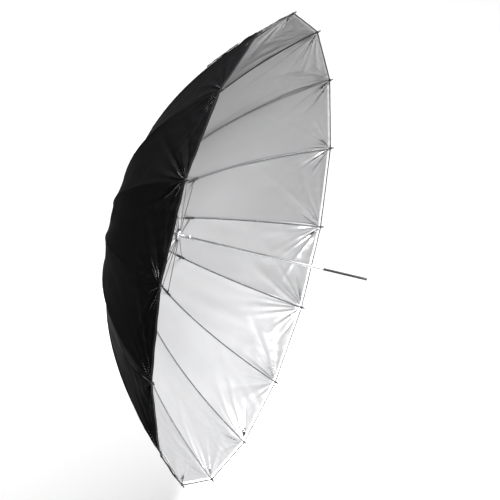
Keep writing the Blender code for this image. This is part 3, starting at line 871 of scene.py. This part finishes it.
def cloth_shell(number, rows, insides, outsides, count, taped_from=None):
    """One rib's closed piece of cloth between two distances from the shaft: half a gore on each side of it.

    rows are distances from the shaft, with the cloth's inside and outside offset at each. Faces past
    taped_from are hem tape.
    """
    rows = np.asarray(rows, float)
    shares = half_columns(rows, count)
    rise = np.zeros(shares.shape[1])
    rise[:3] = (1.0, 0.9, 0.6)
    layers = {}
    for side, gore, angle in ((1, number, half_step), (-1, (number - 1) % RIB_COUNT, -half_step)):
        share = shares if side > 0 else 1 - shares
        radius = np.repeat(rows[:, None], share.shape[1], 1)
        normal = turned_about_shaft(cloth_normal(gore, radius, share), angle)
        for layer, offsets in (("inside", insides), ("outside", outsides)):
            offset = np.repeat(np.asarray(offsets, float)[:, None], share.shape[1], 1)
            over_cloth = (offset >= cloth_outside) | (layer == "outside")
            offset = offset + rise * seam_rise * over_cloth
            points = turned_about_shaft(cloth_point(gore, radius, share, offset), angle)
            layers[layer, side] = (points, normal, radius, share)
    columns = shares.shape[1]
    width = 2 * columns - 1
    points, normals, measures = [], [], []
    for layer in ("outside", "inside"):
        right, left = layers[layer, 1], layers[layer, -1]
        grid = np.concatenate([left[0][:, :0:-1], right[0]], 1)
        grid[:, columns - 1, 1] = 0
        facing = np.concatenate([left[1][:, :0:-1], right[1]], 1)
        ridge = left[1][:, 0] + right[1][:, 0]
        facing[:, columns - 1] = ridge / np.linalg.norm(ridge, axis=-1, keepdims=True)
        sideways = np.concatenate([-shares[:, :0:-1], shares], 1) * 2 * rows[:, None] * math.sin(half_step)
        length = np.repeat(np.interp(rows, arc_at, arc_length)[:, None], width, 1)
        points.append(grid.reshape(-1, 3))
        normals.append(facing.reshape(-1, 3) * (1 if layer == "outside" else -1))
        measures.append(np.stack([sideways + number * 2 * hem_half, length], -1).reshape(-1, 2))
    points = np.concatenate(points)
    normals = np.concatenate(normals)
    measures = np.concatenate(measures)
    count_rows = len(rows)
    cells = [(row, column) for row in range(count_rows - 1) for column in range(width - 1)]
    a = np.array([row * width + column for row, column in cells])
    outside = np.stack([a, a + width, a + width + 1, a + 1], 1)
    shift = count_rows * width
    inside = outside[:, ::-1] + shift
    loop = edge_of_grid(count_rows, width)
    rim = np.array([(here, after, after + shift, here + shift)
                    for here, after in zip(loop, loop[1:] + loop[:1])])
    faces = np.concatenate([outside, inside, rim])
    row_of = np.array([row for row, _ in cells])
    slots = np.zeros(len(faces), int)
    slots[len(outside):len(outside) + len(inside)] = 1
    if taped_from is not None:
        taped = rows[row_of] >= taped_from
        slots[:len(outside)][taped] = 2
        slots[len(outside):2 * len(outside)][taped] = 3
        slots[len(outside):2 * len(outside)][rows[row_of] >= black_from] = 2
        slots[2 * len(outside):] = 2
    mesh = bpy.data.meshes.new("cloth")
    mesh.from_pydata(points.tolist(), [], faces.tolist())
    mesh.polygons.foreach_set("material_index", slots)
    corners = faces.reshape(-1)
    flat = normals[corners].reshape(-1, 4, 3)
    edge_normal = np.cross(points[rim[:, 1]] - points[rim[:, 0]], points[rim[:, 2]] - points[rim[:, 0]])
    edge_normal /= np.maximum(np.linalg.norm(edge_normal, axis=1, keepdims=True), 1e-12)
    flat[2 * len(outside):] = edge_normal[:, None]
    layer = mesh.uv_layers.new(name=LAYER)
    layer.data.foreach_set("uv", measures[corners].astype(np.float32).ravel())
    mesh.shade_smooth()
    mesh.normals_split_custom_set(flat.reshape(-1, 3).tolist())
    return mesh


def weave(tree, pitch):
    """A plain weave's height, its threads pitch apart, on cloth's own measured layer."""
    ways = []
    for direction in ("X", "Y"):
        wave = node(tree, "ShaderNodeTexWave", [("Vector", stretched(tree, (1, 1, 1), LAYER)),
                                                ("Scale", 0.314159 / pitch), ("Distortion", 0.6),
                                                ("Detail Scale", 2.0)], bands_direction=direction)
        ways.append(wave.outputs["Fac"])
    return node(tree, "ShaderNodeMath", [(0, ways[0]), (1, ways[1])], operation="MAXIMUM").outputs["Value"]


def black_satin_finish():
    """The black side: a close satin weave, almost without gloss, cloudy in tone, with faint slubs."""
    made, tree, shader = surface("black_satin", (0.012, 0.012, 0.013), 0.5)
    where = stretched(tree, (1, 1, 1), LAYER)
    slubs = noise(tree, stretched(tree, (700, 45, 1), LAYER), 1.0, 2.0)
    clouds = noise(tree, where, 7, 4.0)
    base = mixed(tree, clouds, (0.0032, 0.0032, 0.0034), (0.0066, 0.0066, 0.007))
    tree.links.new(mixed(tree, between(tree, slubs, 0.3, 0.75, 0, 0.5), base, (0.012, 0.012, 0.013)),
                   shader.inputs["Base Color"])
    tree.links.new(between(tree, clouds, 0.3, 0.7, 0.42, 0.56), shader.inputs["Roughness"])
    shader.inputs["Specular IOR Level"].default_value = 0.001
    raised(tree, shader, weave(tree, 0.0007), 0.00006, 0.12)
    return made


def silver_satin_finish():
    """The silver side: metal-coated satin, slightly uneven in tone, with a fine weave showing through."""
    made, tree, shader = surface("silver_satin", (0.39, 0.39, 0.394), 0.33, 0.5)
    shader.inputs["Specular Tint"].default_value = (0.4, 0.4, 0.4, 1)
    slubs = noise(tree, stretched(tree, (900, 60, 1), LAYER), 1.0, 2.0)
    clouds = noise(tree, stretched(tree, (1, 1, 1), LAYER), 5, 5.0)
    base = mixed(tree, clouds, (0.32, 0.32, 0.325), (0.37, 0.37, 0.375))
    tree.links.new(mixed(tree, between(tree, slubs, 0.3, 0.8, 0, 0.35), base, (0.31, 0.31, 0.314)),
                   shader.inputs["Base Color"])
    tree.links.new(between(tree, clouds, 0.3, 0.7, 0.29, 0.37), shader.inputs["Roughness"])
    raised(tree, shader, weave(tree, 0.0007), 0.00006, 0.10)
    return made


def ribbed_tape_finish(name, tone, pitch):
    """Woven tape with fine cross ribs and a slightly fluffy face."""
    made, tree, shader = surface(name, (tone, tone, tone), 0.7)
    ribs = node(tree, "ShaderNodeTexWave", [("Vector", stretched(tree, (1, 1, 1), LAYER)),
                                            ("Scale", 0.314159 / pitch), ("Distortion", 0.3)],
                bands_direction="X").outputs["Fac"]
    fluff = noise(tree, stretched(tree, (1, 1, 1), LAYER), 900, 3.0)
    tree.links.new(mixed(tree, ribs, (tone * 0.6,) * 3, (tone * 1.5,) * 3), shader.inputs["Base Color"])
    tree.links.new(between(tree, fluff, 0.3, 0.7, 0.6, 0.8), shader.inputs["Roughness"])
    shader.inputs["Specular IOR Level"].default_value = 0.2
    raised(tree, shader, ribs, 0.0001, 0.35)
    return made


black_satin = black_satin_finish()
silver_satin = silver_satin_finish()
hem_tape = ribbed_tape_finish("hem_tape", 0.009, 0.0012)
silver_hem = ribbed_tape_finish("silver_hem", 0.52, 0.0009)

crown_edge = hinge_circle + 1.2 * MILLIMETRE
black_from = bowl_radius - black_edge


def spaced(start, end, count):
    return list(np.linspace(start, end, count + 1))


def towards_hem(start, end, count, crowding=1.4):
    """Rows from start to end that grow closer towards the hem."""
    return [end - (end - start) * ((count - i) / count) ** crowding for i in range(count + 1)]


flap_rows = [flex_radius - 0.003, flex_radius, flex_radius + 0.0002, flex_radius + flap_length]
tape_from = bowl_radius - tape_width
canopy_zones = (
    # name, body, rows, columns in half a gore, share of its width that stays when closed
    ("crown", "rib_inner", spaced(crown_edge, 0.060, 6), 16, 0.66),
    ("shoulder", "rib_inner", spaced(0.060, 0.115, 5), 16, 0.50),
    ("upper", "rib_inner", spaced(0.115, 0.190, 7), 16, 0.385),
    ("waist", "rib_inner", spaced(0.190, 0.275, 7), 16, 0.28),
    ("bracket", "rib_inner", spaced(0.275, flex_radius - 0.010, 7) + flap_rows, 16, 0.205),
    ("middle", "rib_outer", spaced(flex_radius, 0.580, 26), 32, 0.145),
    ("skirt", "rib_outer", towards_hem(0.580, 0.670, 20, 1.1), 32, 0.115),
    ("hem", "rib_outer", towards_hem(0.670, tape_from - 0.0006, 30, 1.3)
     + [tape_from, tape_from + 0.0004, black_from, black_from + 0.0002, bowl_radius - 0.0004, bowl_radius],
     32, 0.085),
)

for zone, body, rows, columns, keep in canopy_zones:
    insides = np.full(len(rows), cloth_inside)
    outsides = np.full(len(rows), cloth_outside)
    taped_from = None
    if zone == "bracket":
        insides[-2:] = cloth_outside + seam_rise * 0.3
        outsides[-3:] = cloth_outside + seam_rise * 0.3 + flap_thickness
    if zone == "hem":
        insides[-5:-3] -= tape_rise / 2
        insides[-3:-1] -= tape_rise
        outsides[-5:-1] += tape_rise
        insides[-1] = cloth_inside + 0.1 * cloth_thickness
        outsides[-1] = cloth_outside - 0.1 * cloth_thickness
        taped_from = tape_from
    for number in numbers:
        label = f"{number + 1:02d}"
        mesh = cloth_shell(number, rows, insides, outsides, columns, taped_from)
        mesh.name = f"canopy_{zone}_{label}"
        cloth = bpy.data.objects.new(mesh.name, mesh)
        bpy.context.scene.collection.objects.link(cloth)
        for finish in (black_satin, silver_satin, hem_tape, silver_hem):
            mesh.materials.append(finish)
        turned_to(cloth, number)
        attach(cloth, f"{body}_{label}")
        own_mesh(cloth)
        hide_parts("canopy")


# ---- Centre patch
# A round of heavy black webbing cloth over the middle of the canopy, under the top cap. Each rib lifts its
# own sixteenth of it when the umbrella closes. A plain disc under it closes the canopy's middle.

patch_low, patch_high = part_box("centre_patch")
patch_radius = patch_high.z
patch_inside = cloth_outside + seam_rise + 0.1 * MILLIMETRE
patch_thickness = 0.8 * MILLIMETRE
patch_split = hinge_circle + 1.0 * MILLIMETRE
patch_bulge = 0.6 * MILLIMETRE
patch_seat = seat + 0.4 * MILLIMETRE
disc_margin = 0.1 * MILLIMETRE
disc_radius = crown_edge + 0.5 * MILLIMETRE
disc_seat = seat + 0.3 * MILLIMETRE


def webbing_finish(name, tone):
    """Heavy plain-woven polyester, its threads wide enough to see, paler where it has rubbed."""
    made, tree, shader = surface(name, (tone, tone, tone), 0.75)
    where = stretched(tree, (1, 1, 1))
    threads = node(tree, "ShaderNodeTexChecker", [("Vector", where), ("Scale", 1100.0)]).outputs["Fac"]
    fluff = noise(tree, where, 260, 5.0)
    base = mixed(tree, between(tree, fluff, 0.35, 0.75), (tone, tone, tone), (tone * 2.2,) * 3)
    tree.links.new(mixed(tree, between(tree, threads, 0, 1, 0, 0.4), base, (tone * 0.5,) * 3),
                   shader.inputs["Base Color"])
    tree.links.new(between(tree, fluff, 0.3, 0.75, 0.66, 0.84), shader.inputs["Roughness"])
    shader.inputs["Specular IOR Level"].default_value = 0.15
    raised(tree, shader, fluff, 0.0002, 0.4)
    return made


black_webbing = webbing_finish("black_webbing", 0.009)


def petal_mesh(inner, outer, low, high, rings=6, sides=8):
    """A sixteenth of thick cloth between two distances from the shaft, crowned on top."""
    radii = np.linspace(inner, outer, rings + 1)
    angles = np.linspace(-half_step, half_step, sides + 1)
    top, under = [], []
    for step, radius in enumerate(radii):
        x = rib_curve(radius)[0]
        lift = patch_bulge * min(1, min(step, rings - step) / 2)
        fall = 0.5 * (high - low) if step == rings else 0
        for angle in angles:
            top.append((x - high - lift + fall, radius * math.sin(angle), radius * math.cos(angle)))
            under.append((x - low, radius * math.sin(angle), radius * math.cos(angle)))
    width = sides + 1
    count = len(top)
    faces = []
    for row in range(rings):
        for column in range(sides):
            a = row * width + column
            faces.append((a, a + 1, a + width + 1, a + width))
            faces.append((a + count, a + count + width, a + count + width + 1, a + count + 1))
    loop = edge_of_grid(rings + 1, width)
    for here, after in zip(loop, loop[1:] + loop[:1]):
        faces.append((here, here + count, after + count, after))
    return shape_mesh([(np.array(top + under), faces, 0)])


patch_rim_x = float(rib_curve(patch_split)[0]) - patch_inside
patch_middle_x = crown_pivot.x - patch_inside
patch_middle = add_piece("centre_patch_middle", turned([
    (patch_rim_x, patch_split), (patch_rim_x - patch_thickness, patch_split),
    (patch_middle_x - patch_thickness, patch_seat), (patch_middle_x, patch_seat),
], cut=0.0001, ring=True), black_webbing)
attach(patch_middle, "shaft")
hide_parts("centre_patch")

for number in numbers:
    label = f"{number + 1:02d}"
    petal = add_piece(f"centre_patch_{label}", petal_mesh(
        patch_split, patch_radius, patch_inside, patch_inside + patch_thickness), black_webbing)
    turned_to(petal, number)
    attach(petal, f"rib_inner_{label}")
    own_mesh(petal)
    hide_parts("centre_patch")

crown_disc = add_piece("canopy_centre", turned([
    (float(rib_curve(disc_radius, cloth_inside - disc_margin)[0]), disc_radius),
    (float(rib_curve(disc_radius, cloth_outside + disc_margin)[0]), disc_radius),
    (crown_pivot.x - cloth_outside - disc_margin, disc_seat), (crown_pivot.x - cloth_inside, disc_seat),
], cut=0.0001, ring=True), black_webbing)
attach(crown_disc, "shaft")
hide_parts("canopy")


# ---- Stretchers
# Sixteen straight steel wires from the brackets to the runner. Each has a pressed fork riveted over the rib's
# tab, and a flat eye threaded on the runner's wire.

stretcher_radius = 1.3 * MILLIMETRE
fork_gap = 0.35 * MILLIMETRE
fork_cheek = 0.9 * MILLIMETRE
fork_length = 8 * MILLIMETRE
rivet_radius = 0.7 * MILLIMETRE
rivet_head_radius = 1.35 * MILLIMETRE
rivet_head_height = 0.4 * MILLIMETRE
fork_barrel = [(-2.2, 1.5), (-1.2, 1.95), (0.0, 1.85), (3.5, 1.75), (4.8, 1.6), (5.6, 1.32)]


def grey_steel_finish():
    """Oiled wire: a dull dark grey with drawing lines and small darker stains."""
    made, tree, shader = surface("grey_steel", (0.17, 0.17, 0.175), 0.34, 0.8)
    stains = noise(tree, stretched(tree, (60, 60, 14)), 1.0, 5.0)
    lines = noise(tree, stretched(tree, (1800, 1800, 12)), 1.0, 2.0)
    tree.links.new(mixed(tree, between(tree, stains, 0.35, 0.75), (0.20, 0.20, 0.205), (0.10, 0.098, 0.096)),
                   shader.inputs["Base Color"])
    tree.links.new(between(tree, stains, 0.3, 0.75, 0.26, 0.46), shader.inputs["Roughness"])
    raised(tree, shader, lines, 0.00002, 0.2)
    return made


grey_steel = grey_steel_finish()

fork_at = Vector((bracket_pivot.x, bracket_pivot.z))
runner_at = Vector((runner_pivot.x, runner_pivot.z))
stretcher_way = (runner_at - fork_at).normalized()
cheek_inside = tab_half + fork_gap
cheek_outside = cheek_inside + fork_cheek


def rivet_shape(centre):
    """A rivet across the fork, with a domed head on each side. centre is (x, z)."""
    head = cheek_outside + rivet_head_height
    profile = [(-head, 0.25), (-head + 0.0001, 0.62), (-cheek_outside - 0.0001, 1.0), (-cheek_outside, 1.0)]
    across = [(y, rivet_head_radius * w) for y, w in profile]
    across += [(-cheek_outside, rivet_radius), (cheek_outside, rivet_radius)]
    across += [(-y, radius) for y, radius in reversed(across[:4])]
    sides = 18
    points = [(centre[0] + radius * math.cos(2 * math.pi * i / sides), y,
               centre[1] + radius * math.sin(2 * math.pi * i / sides))
              for y, radius in across for i in range(sides)]
    return np.array(points), bar_faces(len(across), sides)


wire_start = fork_at + stretcher_way * (fork_length - 0.003)
wire_end = runner_at - stretcher_way * (shank_length - 0.0012)
wire_path = [wire_start + (wire_end - wire_start) * share for share in np.linspace(0, 1, 25)]
stretcher_shapes = [(*swept(wire_path, stretcher_radius, 12), 0)]
stretcher_shapes.append((*swept(
    [fork_at + stretcher_way * (fork_length + place * MILLIMETRE) for place, _ in fork_barrel],
    [radius * MILLIMETRE for _, radius in fork_barrel]), 1))
for side in (-1, 1):
    low_y, high_y = sorted((side * cheek_inside, side * cheek_outside))
    centre_y = (low_y + high_y) / 2
    ring_points, ring_faces = washer(fork_at, rivet_radius, tab_radius, fork_cheek / 2)
    stretcher_shapes.append((ring_points + np.array((0, centre_y, 0)), ring_faces, 1))
    stretcher_shapes.append((*tapered_plate(fork_at + stretcher_way * rivet_radius * 1.1,
                                            fork_at + stretcher_way * (fork_length - 0.0008),
                                            0.92 * tab_radius, 0.75 * tab_radius, low_y, high_y), 1))
stretcher_shapes.append((*rivet_shape(fork_at), 2))
stretcher_shapes += eye_shapes(runner_at, -stretcher_way, 1)
stretcher_mesh = shape_mesh(stretcher_shapes)
first_stretcher = add_piece("stretcher_wire_01", stretcher_mesh, grey_steel, black_steel, bright_steel)
for number in numbers:
    label = f"{number + 1:02d}"
    stretcher = copied(first_stretcher, f"stretcher_wire_{label}") if number else first_stretcher
    turned_to(stretcher, number)
    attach(stretcher, f"stretcher_{label}")
    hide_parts(f"stretcher_{label}")


# ---- Runner and its wire
# A nickel-plated sleeve that slides on the shaft. The stretchers' eyes sit in slots of its rim, on a steel
# wire in the rim's groove. Rings turned into the sleeve, and a collar at its end, give the fingers a grip.

runner_low, runner_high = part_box("runner")
runner_x = runner_pivot.x
sleeve_x = runner_x + hub_front
sleeve_radius = 5.8 * MILLIMETRE
grip_length = 5 * MILLIMETRE
grip_radius = 8.5 * MILLIMETRE
grip_x = runner_high.x - grip_length
sleeve_seat = shaft_radius + 0.3 * MILLIMETRE
sleeve_rings = [sleeve_x + 9 * MILLIMETRE + step * 3 * MILLIMETRE for step in range(5)]
ring_depth = 0.35 * MILLIMETRE
ring_width = 1.1 * MILLIMETRE
ring_edge = 0.3 * MILLIMETRE
grip_edge = 0.8 * MILLIMETRE
grip_slope = 1.2 * MILLIMETRE

nickel = bright_steel_finish("nickel", 0.72, 0.34)

ring_floor = sleeve_radius - ring_depth
sleeve_outline = []
for ring_x in reversed(sleeve_rings):
    sleeve_outline += [(ring_x + ring_width, sleeve_radius), (ring_x + ring_width - ring_edge, ring_floor),
                       (ring_x + ring_edge, ring_floor), (ring_x, sleeve_radius)]
runner_sleeve = add_piece("runner_sleeve", turned(
    [(runner_high.x, sleeve_seat), (runner_high.x, grip_radius - grip_edge),
     (runner_high.x - grip_edge, grip_radius), (grip_x + grip_slope, grip_radius), (grip_x, sleeve_radius)]
    + sleeve_outline + [(sleeve_x, sleeve_radius)]
    + grooved_rim(runner_x, runner_low.x, sleeve_x) + [(runner_low.x, sleeve_seat)],
    steps=96, cut=0.0002, ring=True,
), nickel)
milled(runner_sleeve, [joined_cutters(rib_slots(runner_low.x - hub_front / 2, sleeve_x + hub_front / 2))])
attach(runner_sleeve, "runner")
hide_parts("runner")
wire_ring("runner_threading_wire", runner_x, "runner", "runner_wire")


# ---- Catch spring
# A strip of spring steel bent to a step, set in the shaft's slot with its heel inside the tube. It springs
# out behind the runner's mouth and holds the umbrella open until it is pressed in.

strip_thickness = 0.7 * MILLIMETRE
strip_bevel = 0.12 * MILLIMETRE
strip_half = (catch_high.y - catch_low.y) / 2
toe_x = catch_low.x + strip_thickness / 2
heel = Vector((catch_high.x - 2 * MILLIMETRE, catch_high.z - strip_thickness / 2))
crest_z = catch_low.z + strip_thickness / 2
catch_line = [
    (catch_high.x - strip_thickness / 2, heel.y), (heel.x - 2 * MILLIMETRE, heel.y),
    (catch_low.x + 7.5 * MILLIMETRE, crest_z + 2.0 * MILLIMETRE), (catch_low.x + 3.2 * MILLIMETRE, crest_z),
    (toe_x, crest_z), (toe_x, heel.y - 0.3 * MILLIMETRE),
]


def strip_mesh(line, half_width, thickness, cut):
    """A bent strip of metal along a line of (x, z) points, its corners rounded."""
    points = [Vector(point) for point in eased(line, cut, False, 5)]
    outline = []
    for side in (-1, 1):
        edge = []
        for number, point in enumerate(points):
            before = points[max(number - 1, 0)]
            after = points[min(number + 1, len(points) - 1)]
            along = (after - before).normalized()
            edge.append(point + Vector((-along.y, along.x)) * side * thickness / 2)
        outline.append(edge)
    inset = half_width - strip_bevel
    corner_points = []
    for low, high in zip(*outline):
        across = (high - low).normalized() * strip_bevel
        low_edge, high_edge = low + across, high - across
        corner_points += [(low_edge.x, -half_width, low_edge.y), (low.x, -inset, low.y),
                          (low.x, inset, low.y), (low_edge.x, half_width, low_edge.y),
                          (high_edge.x, half_width, high_edge.y), (high.x, inset, high.y),
                          (high.x, -inset, high.y), (high_edge.x, -half_width, high_edge.y)]
    return shape_mesh([(np.array(corner_points), bar_faces(len(points), 8), 0)])


catch = add_piece("catch_strip", strip_mesh(catch_line, strip_half, strip_thickness, 0.9 * MILLIMETRE),
                  bright_steel)
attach(catch, "catch_spring")
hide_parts("catch_spring")


# ---- Tie strap
# A length of black webbing sewn to the cloth over the first rib, with a press stud at its free end. It goes
# round the closed umbrella.

strap_width = 18 * MILLIMETRE
strap_length = 150 * MILLIMETRE
strap_thickness = 1.2 * MILLIMETRE
strap_to_hem = 55 * MILLIMETRE
strap_over = cloth_outside + seam_rise + 0.6 * MILLIMETRE
strap_crown = 1.2 * MILLIMETRE
strap_lift = 0.4 * MILLIMETRE
sewn_corner = 1.5 * MILLIMETRE
stitch_inset = 1.6 * MILLIMETRE
stitch_length = 2.2 * MILLIMETRE
stitch_gap = 0.9 * MILLIMETRE
stitch_radius = 0.3 * MILLIMETRE
stitches_from = 3 * MILLIMETRE
stitches_run = 22 * MILLIMETRE


def strap_mesh():
    """The strap's closed shape along the first rib, its free end rounded and its edges rolled."""
    steps, sides = 75, 12
    end_way = rib_direction(bowl_radius)
    points = []
    for step in range(steps + 1):
        place = strap_length * step / steps
        radius = bowl_radius - strap_to_hem - place * end_way.y
        left = min(place, strap_length - place)
        rounding = strap_width / 2 if place > strap_length / 2 else sewn_corner
        half = strap_width / 2
        if left < rounding:
            corner = max(rounding**2 - (rounding - left) ** 2, (0.6 * MILLIMETRE) ** 2)
            half = half - rounding + math.sqrt(corner)
        wave = 0.0004 * math.sin(place * 70) + 0.00025 * math.sin(place * 173 + 1)
        section = []
        for side in range(sides + 1):
            share = 2 * side / sides - 1
            thick = strap_thickness / 2 * (1 - 0.35 * abs(share) ** 6)
            section.append((share * half, thick, strap_crown * (1 - share * share) + wave))
        ring = [(y, thick + rise) for y, thick, rise in section]
        ring += [(y, -thick + rise) for y, thick, rise in reversed(section)]
        for y, out in ring:
            x, z = rib_curve(radius, strap_over + strap_thickness / 2 + strap_lift + out)
            points.append((float(x), y, float(z)))
    return shape_mesh([(np.array(points), bar_faces(steps + 1, 2 * (sides + 1)), 0)])


strap = add_piece("tie_strap_webbing", strap_mesh(), black_webbing, sharp=60)
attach(strap, "rib_outer_01")
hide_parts("tie_strap")

stud_place = strap_length - strap_width / 2
stud_radius = bowl_radius - strap_to_hem - stud_place * end_direction.y
stud_way = rib_direction(stud_radius)
stud_out = Vector((-stud_way.y, stud_way.x))
stud_profile = [(0.0, 0.0), (0.0, 5.4), (0.35, 6.0), (0.8, 6.0), (1.15, 5.6), (1.25, 4.9), (0.95, 4.2),
                (0.95, 2.9), (1.35, 2.3), (1.6, 1.2), (1.65, 0.0)]
stud_mesh = turned([(-height * MILLIMETRE, radius * MILLIMETRE) for height, radius in stud_profile],
                   steps=40, cut=0.00015)
stud = add_piece("tie_strap_stud", stud_mesh, bright_steel)
stud_at = rib_point(stud_radius, strap_over + strap_thickness + 0.0011)
stud.rotation_euler = (0, math.atan2(stud_out.y, -stud_out.x), 0)
stud.location = (stud_at.x, 0, stud_at.y)
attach(stud, "rib_outer_01")

stitch_black = thread_finish("stitch_black", 0.06)


def thread_bar(path, radius, sides=6):
    """Points and faces of a thread along a path in space, thinner at its two ends."""
    points = []
    for number, point in enumerate(path):
        along = (path[min(number + 1, len(path) - 1)] - path[max(number - 1, 0)]).normalized()
        first = along.cross(Vector((1, 0.2, 0.1))).normalized()
        second = along.cross(first)
        thin = 0.5 if number in (0, len(path) - 1) else 1.0
        for side in range(sides):
            turn = 2 * math.pi * side / sides
            points.append(point + (first * math.cos(turn) + second * math.sin(turn)) * radius * thin)
    return np.array([tuple(point) for point in points]), bar_faces(len(path), sides)


def stitches_mesh():
    """A box of lock stitches at the strap's sewn end."""
    shapes = []
    pitch = stitch_length + stitch_gap
    half = strap_width / 2 - stitch_inset
    near, far = stitches_from, stitches_from + stitches_run
    lines = [((near, -half), (far, -half)), ((near, half), (far, half)), ((near, -half), (near, half)),
             ((far, -half), (far, half)), ((near, -half), (far, half)), ((near, half), (far, -half))]
    for start, end in lines:
        start = Vector(start)
        line = Vector(end) - start
        for number in range(int(line.length / pitch)):
            low = start + line.normalized() * number * pitch
            high = low + line.normalized() * stitch_length
            path = []
            for share in np.linspace(0, 1, 6):
                spot = low + (high - low) * float(share)
                radius = bowl_radius - strap_to_hem - spot.x * end_direction.y
                crown = strap_crown * (1 - (spot.y / (strap_width / 2)) ** 2)
                arch = 0.0002 * math.sin(math.pi * share) - 0.0001
                x, z = rib_curve(radius, strap_over + strap_thickness + crown + strap_lift + arch)
                path.append(Vector((float(x), spot.y, float(z))))
            shapes.append((*thread_bar(path, stitch_radius), 0))
    return shape_mesh(shapes)


strap_stitches = add_piece("tie_strap_stitches", stitches_mesh(), stitch_black)
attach(strap_stitches, "rib_outer_01")


# ---- Floor, light and camera
# A plain pale floor well below the umbrella, a dim white surround, a broad soft lamp over the floor, and a
# narrower lamp above the open side that lights the lower half of the bowl.

floor_z = -1.35
floor_half = 30.0
floor_data = bpy.data.meshes.new("floor")
floor_data.from_pydata([(x, y, floor_z) for x, y in ((-1, -1), (1, -1), (1, 1), (-1, 1))], [], [(0, 1, 2, 3)])
floor_data.transform(Matrix.Diagonal((floor_half, floor_half, 1, 1)))
floor_finish, floor_tree, floor_shader = surface("floor_paint", (0.9, 0.9, 0.9), 0.9)
floor_patches = noise(floor_tree, stretched(floor_tree, (1, 1, 1)), 0.6, 3.0)
floor_tree.links.new(mixed(floor_tree, floor_patches, (0.93, 0.93, 0.93), (0.97, 0.97, 0.97)),
                     floor_shader.inputs["Base Color"])
floor = add_piece("floor", floor_data, floor_finish)

CAMERA_RIGHT = Vector((0.9298, 0.3667, 0.0314)).normalized()
CAMERA_BACK = Vector((0.2963, -0.7966, 0.5271)).normalized()
CAMERA_UP = CAMERA_BACK.cross(CAMERA_RIGHT).normalized()
rim_centre = Vector((crown_pivot.x + bowl_depth, 0, 0))
camera_distance = 5.380
camera_left = 0.0065
camera_above = 0.00765
camera_angle = 16.69

world = bpy.data.worlds.new("surround")
world.use_nodes = True
world.node_tree.nodes["Background"].inputs["Color"].default_value = (1, 1, 1, 1)
world.node_tree.nodes["Background"].inputs["Strength"].default_value = 0.28
bpy.context.scene.world = world
bpy.context.scene.view_settings.view_transform = "Standard"


def lamp(name, at, towards, size, power, spread):
    """A soft rectangular lamp at a place, facing another. power is in watts for each m2 of it."""
    data = bpy.data.lights.new(name, "AREA")
    data.shape = "RECTANGLE"
    data.size, data.size_y = size
    data.energy = power * size[0] * size[1]
    data.spread = math.radians(spread)
    made = bpy.data.objects.new(name, data)
    bpy.context.scene.collection.objects.link(made)
    made.location = at
    made.rotation_euler = (Vector(at) - Vector(towards)).to_track_quat("Z", "Y").to_euler()


lamp("overhead_lamp", (-1.5, 2.3, 4.6), (-1.5, 2.3, 0), (8.0, 10.0), 3.4, spread=100)
lamp("key_lamp", (1.74, -0.26, 3.84), (-0.2, 0, -0.1), (1.4, 1.4), 21.5, spread=32)

camera_data = bpy.data.cameras.new("camera")
camera_data.sensor_width = 36
camera_data.sensor_height = 36
camera_data.sensor_fit = "HORIZONTAL"
camera_data.lens = 18 / math.tan(math.radians(camera_angle) / 2)
camera_data.clip_start = 0.05
camera_data.clip_end = 200
camera = bpy.data.objects.new("camera", camera_data)
bpy.context.scene.collection.objects.link(camera)
camera_at = (rim_centre - CAMERA_RIGHT * camera_left + CAMERA_UP * camera_above
             + CAMERA_BACK * camera_distance)
axes = Matrix((CAMERA_RIGHT, CAMERA_UP, CAMERA_BACK)).transposed().to_4x4()
camera.matrix_world = Matrix.Translation(camera_at) @ axes
bpy.context.scene.camera = camera

bpy.context.view_layer.update()
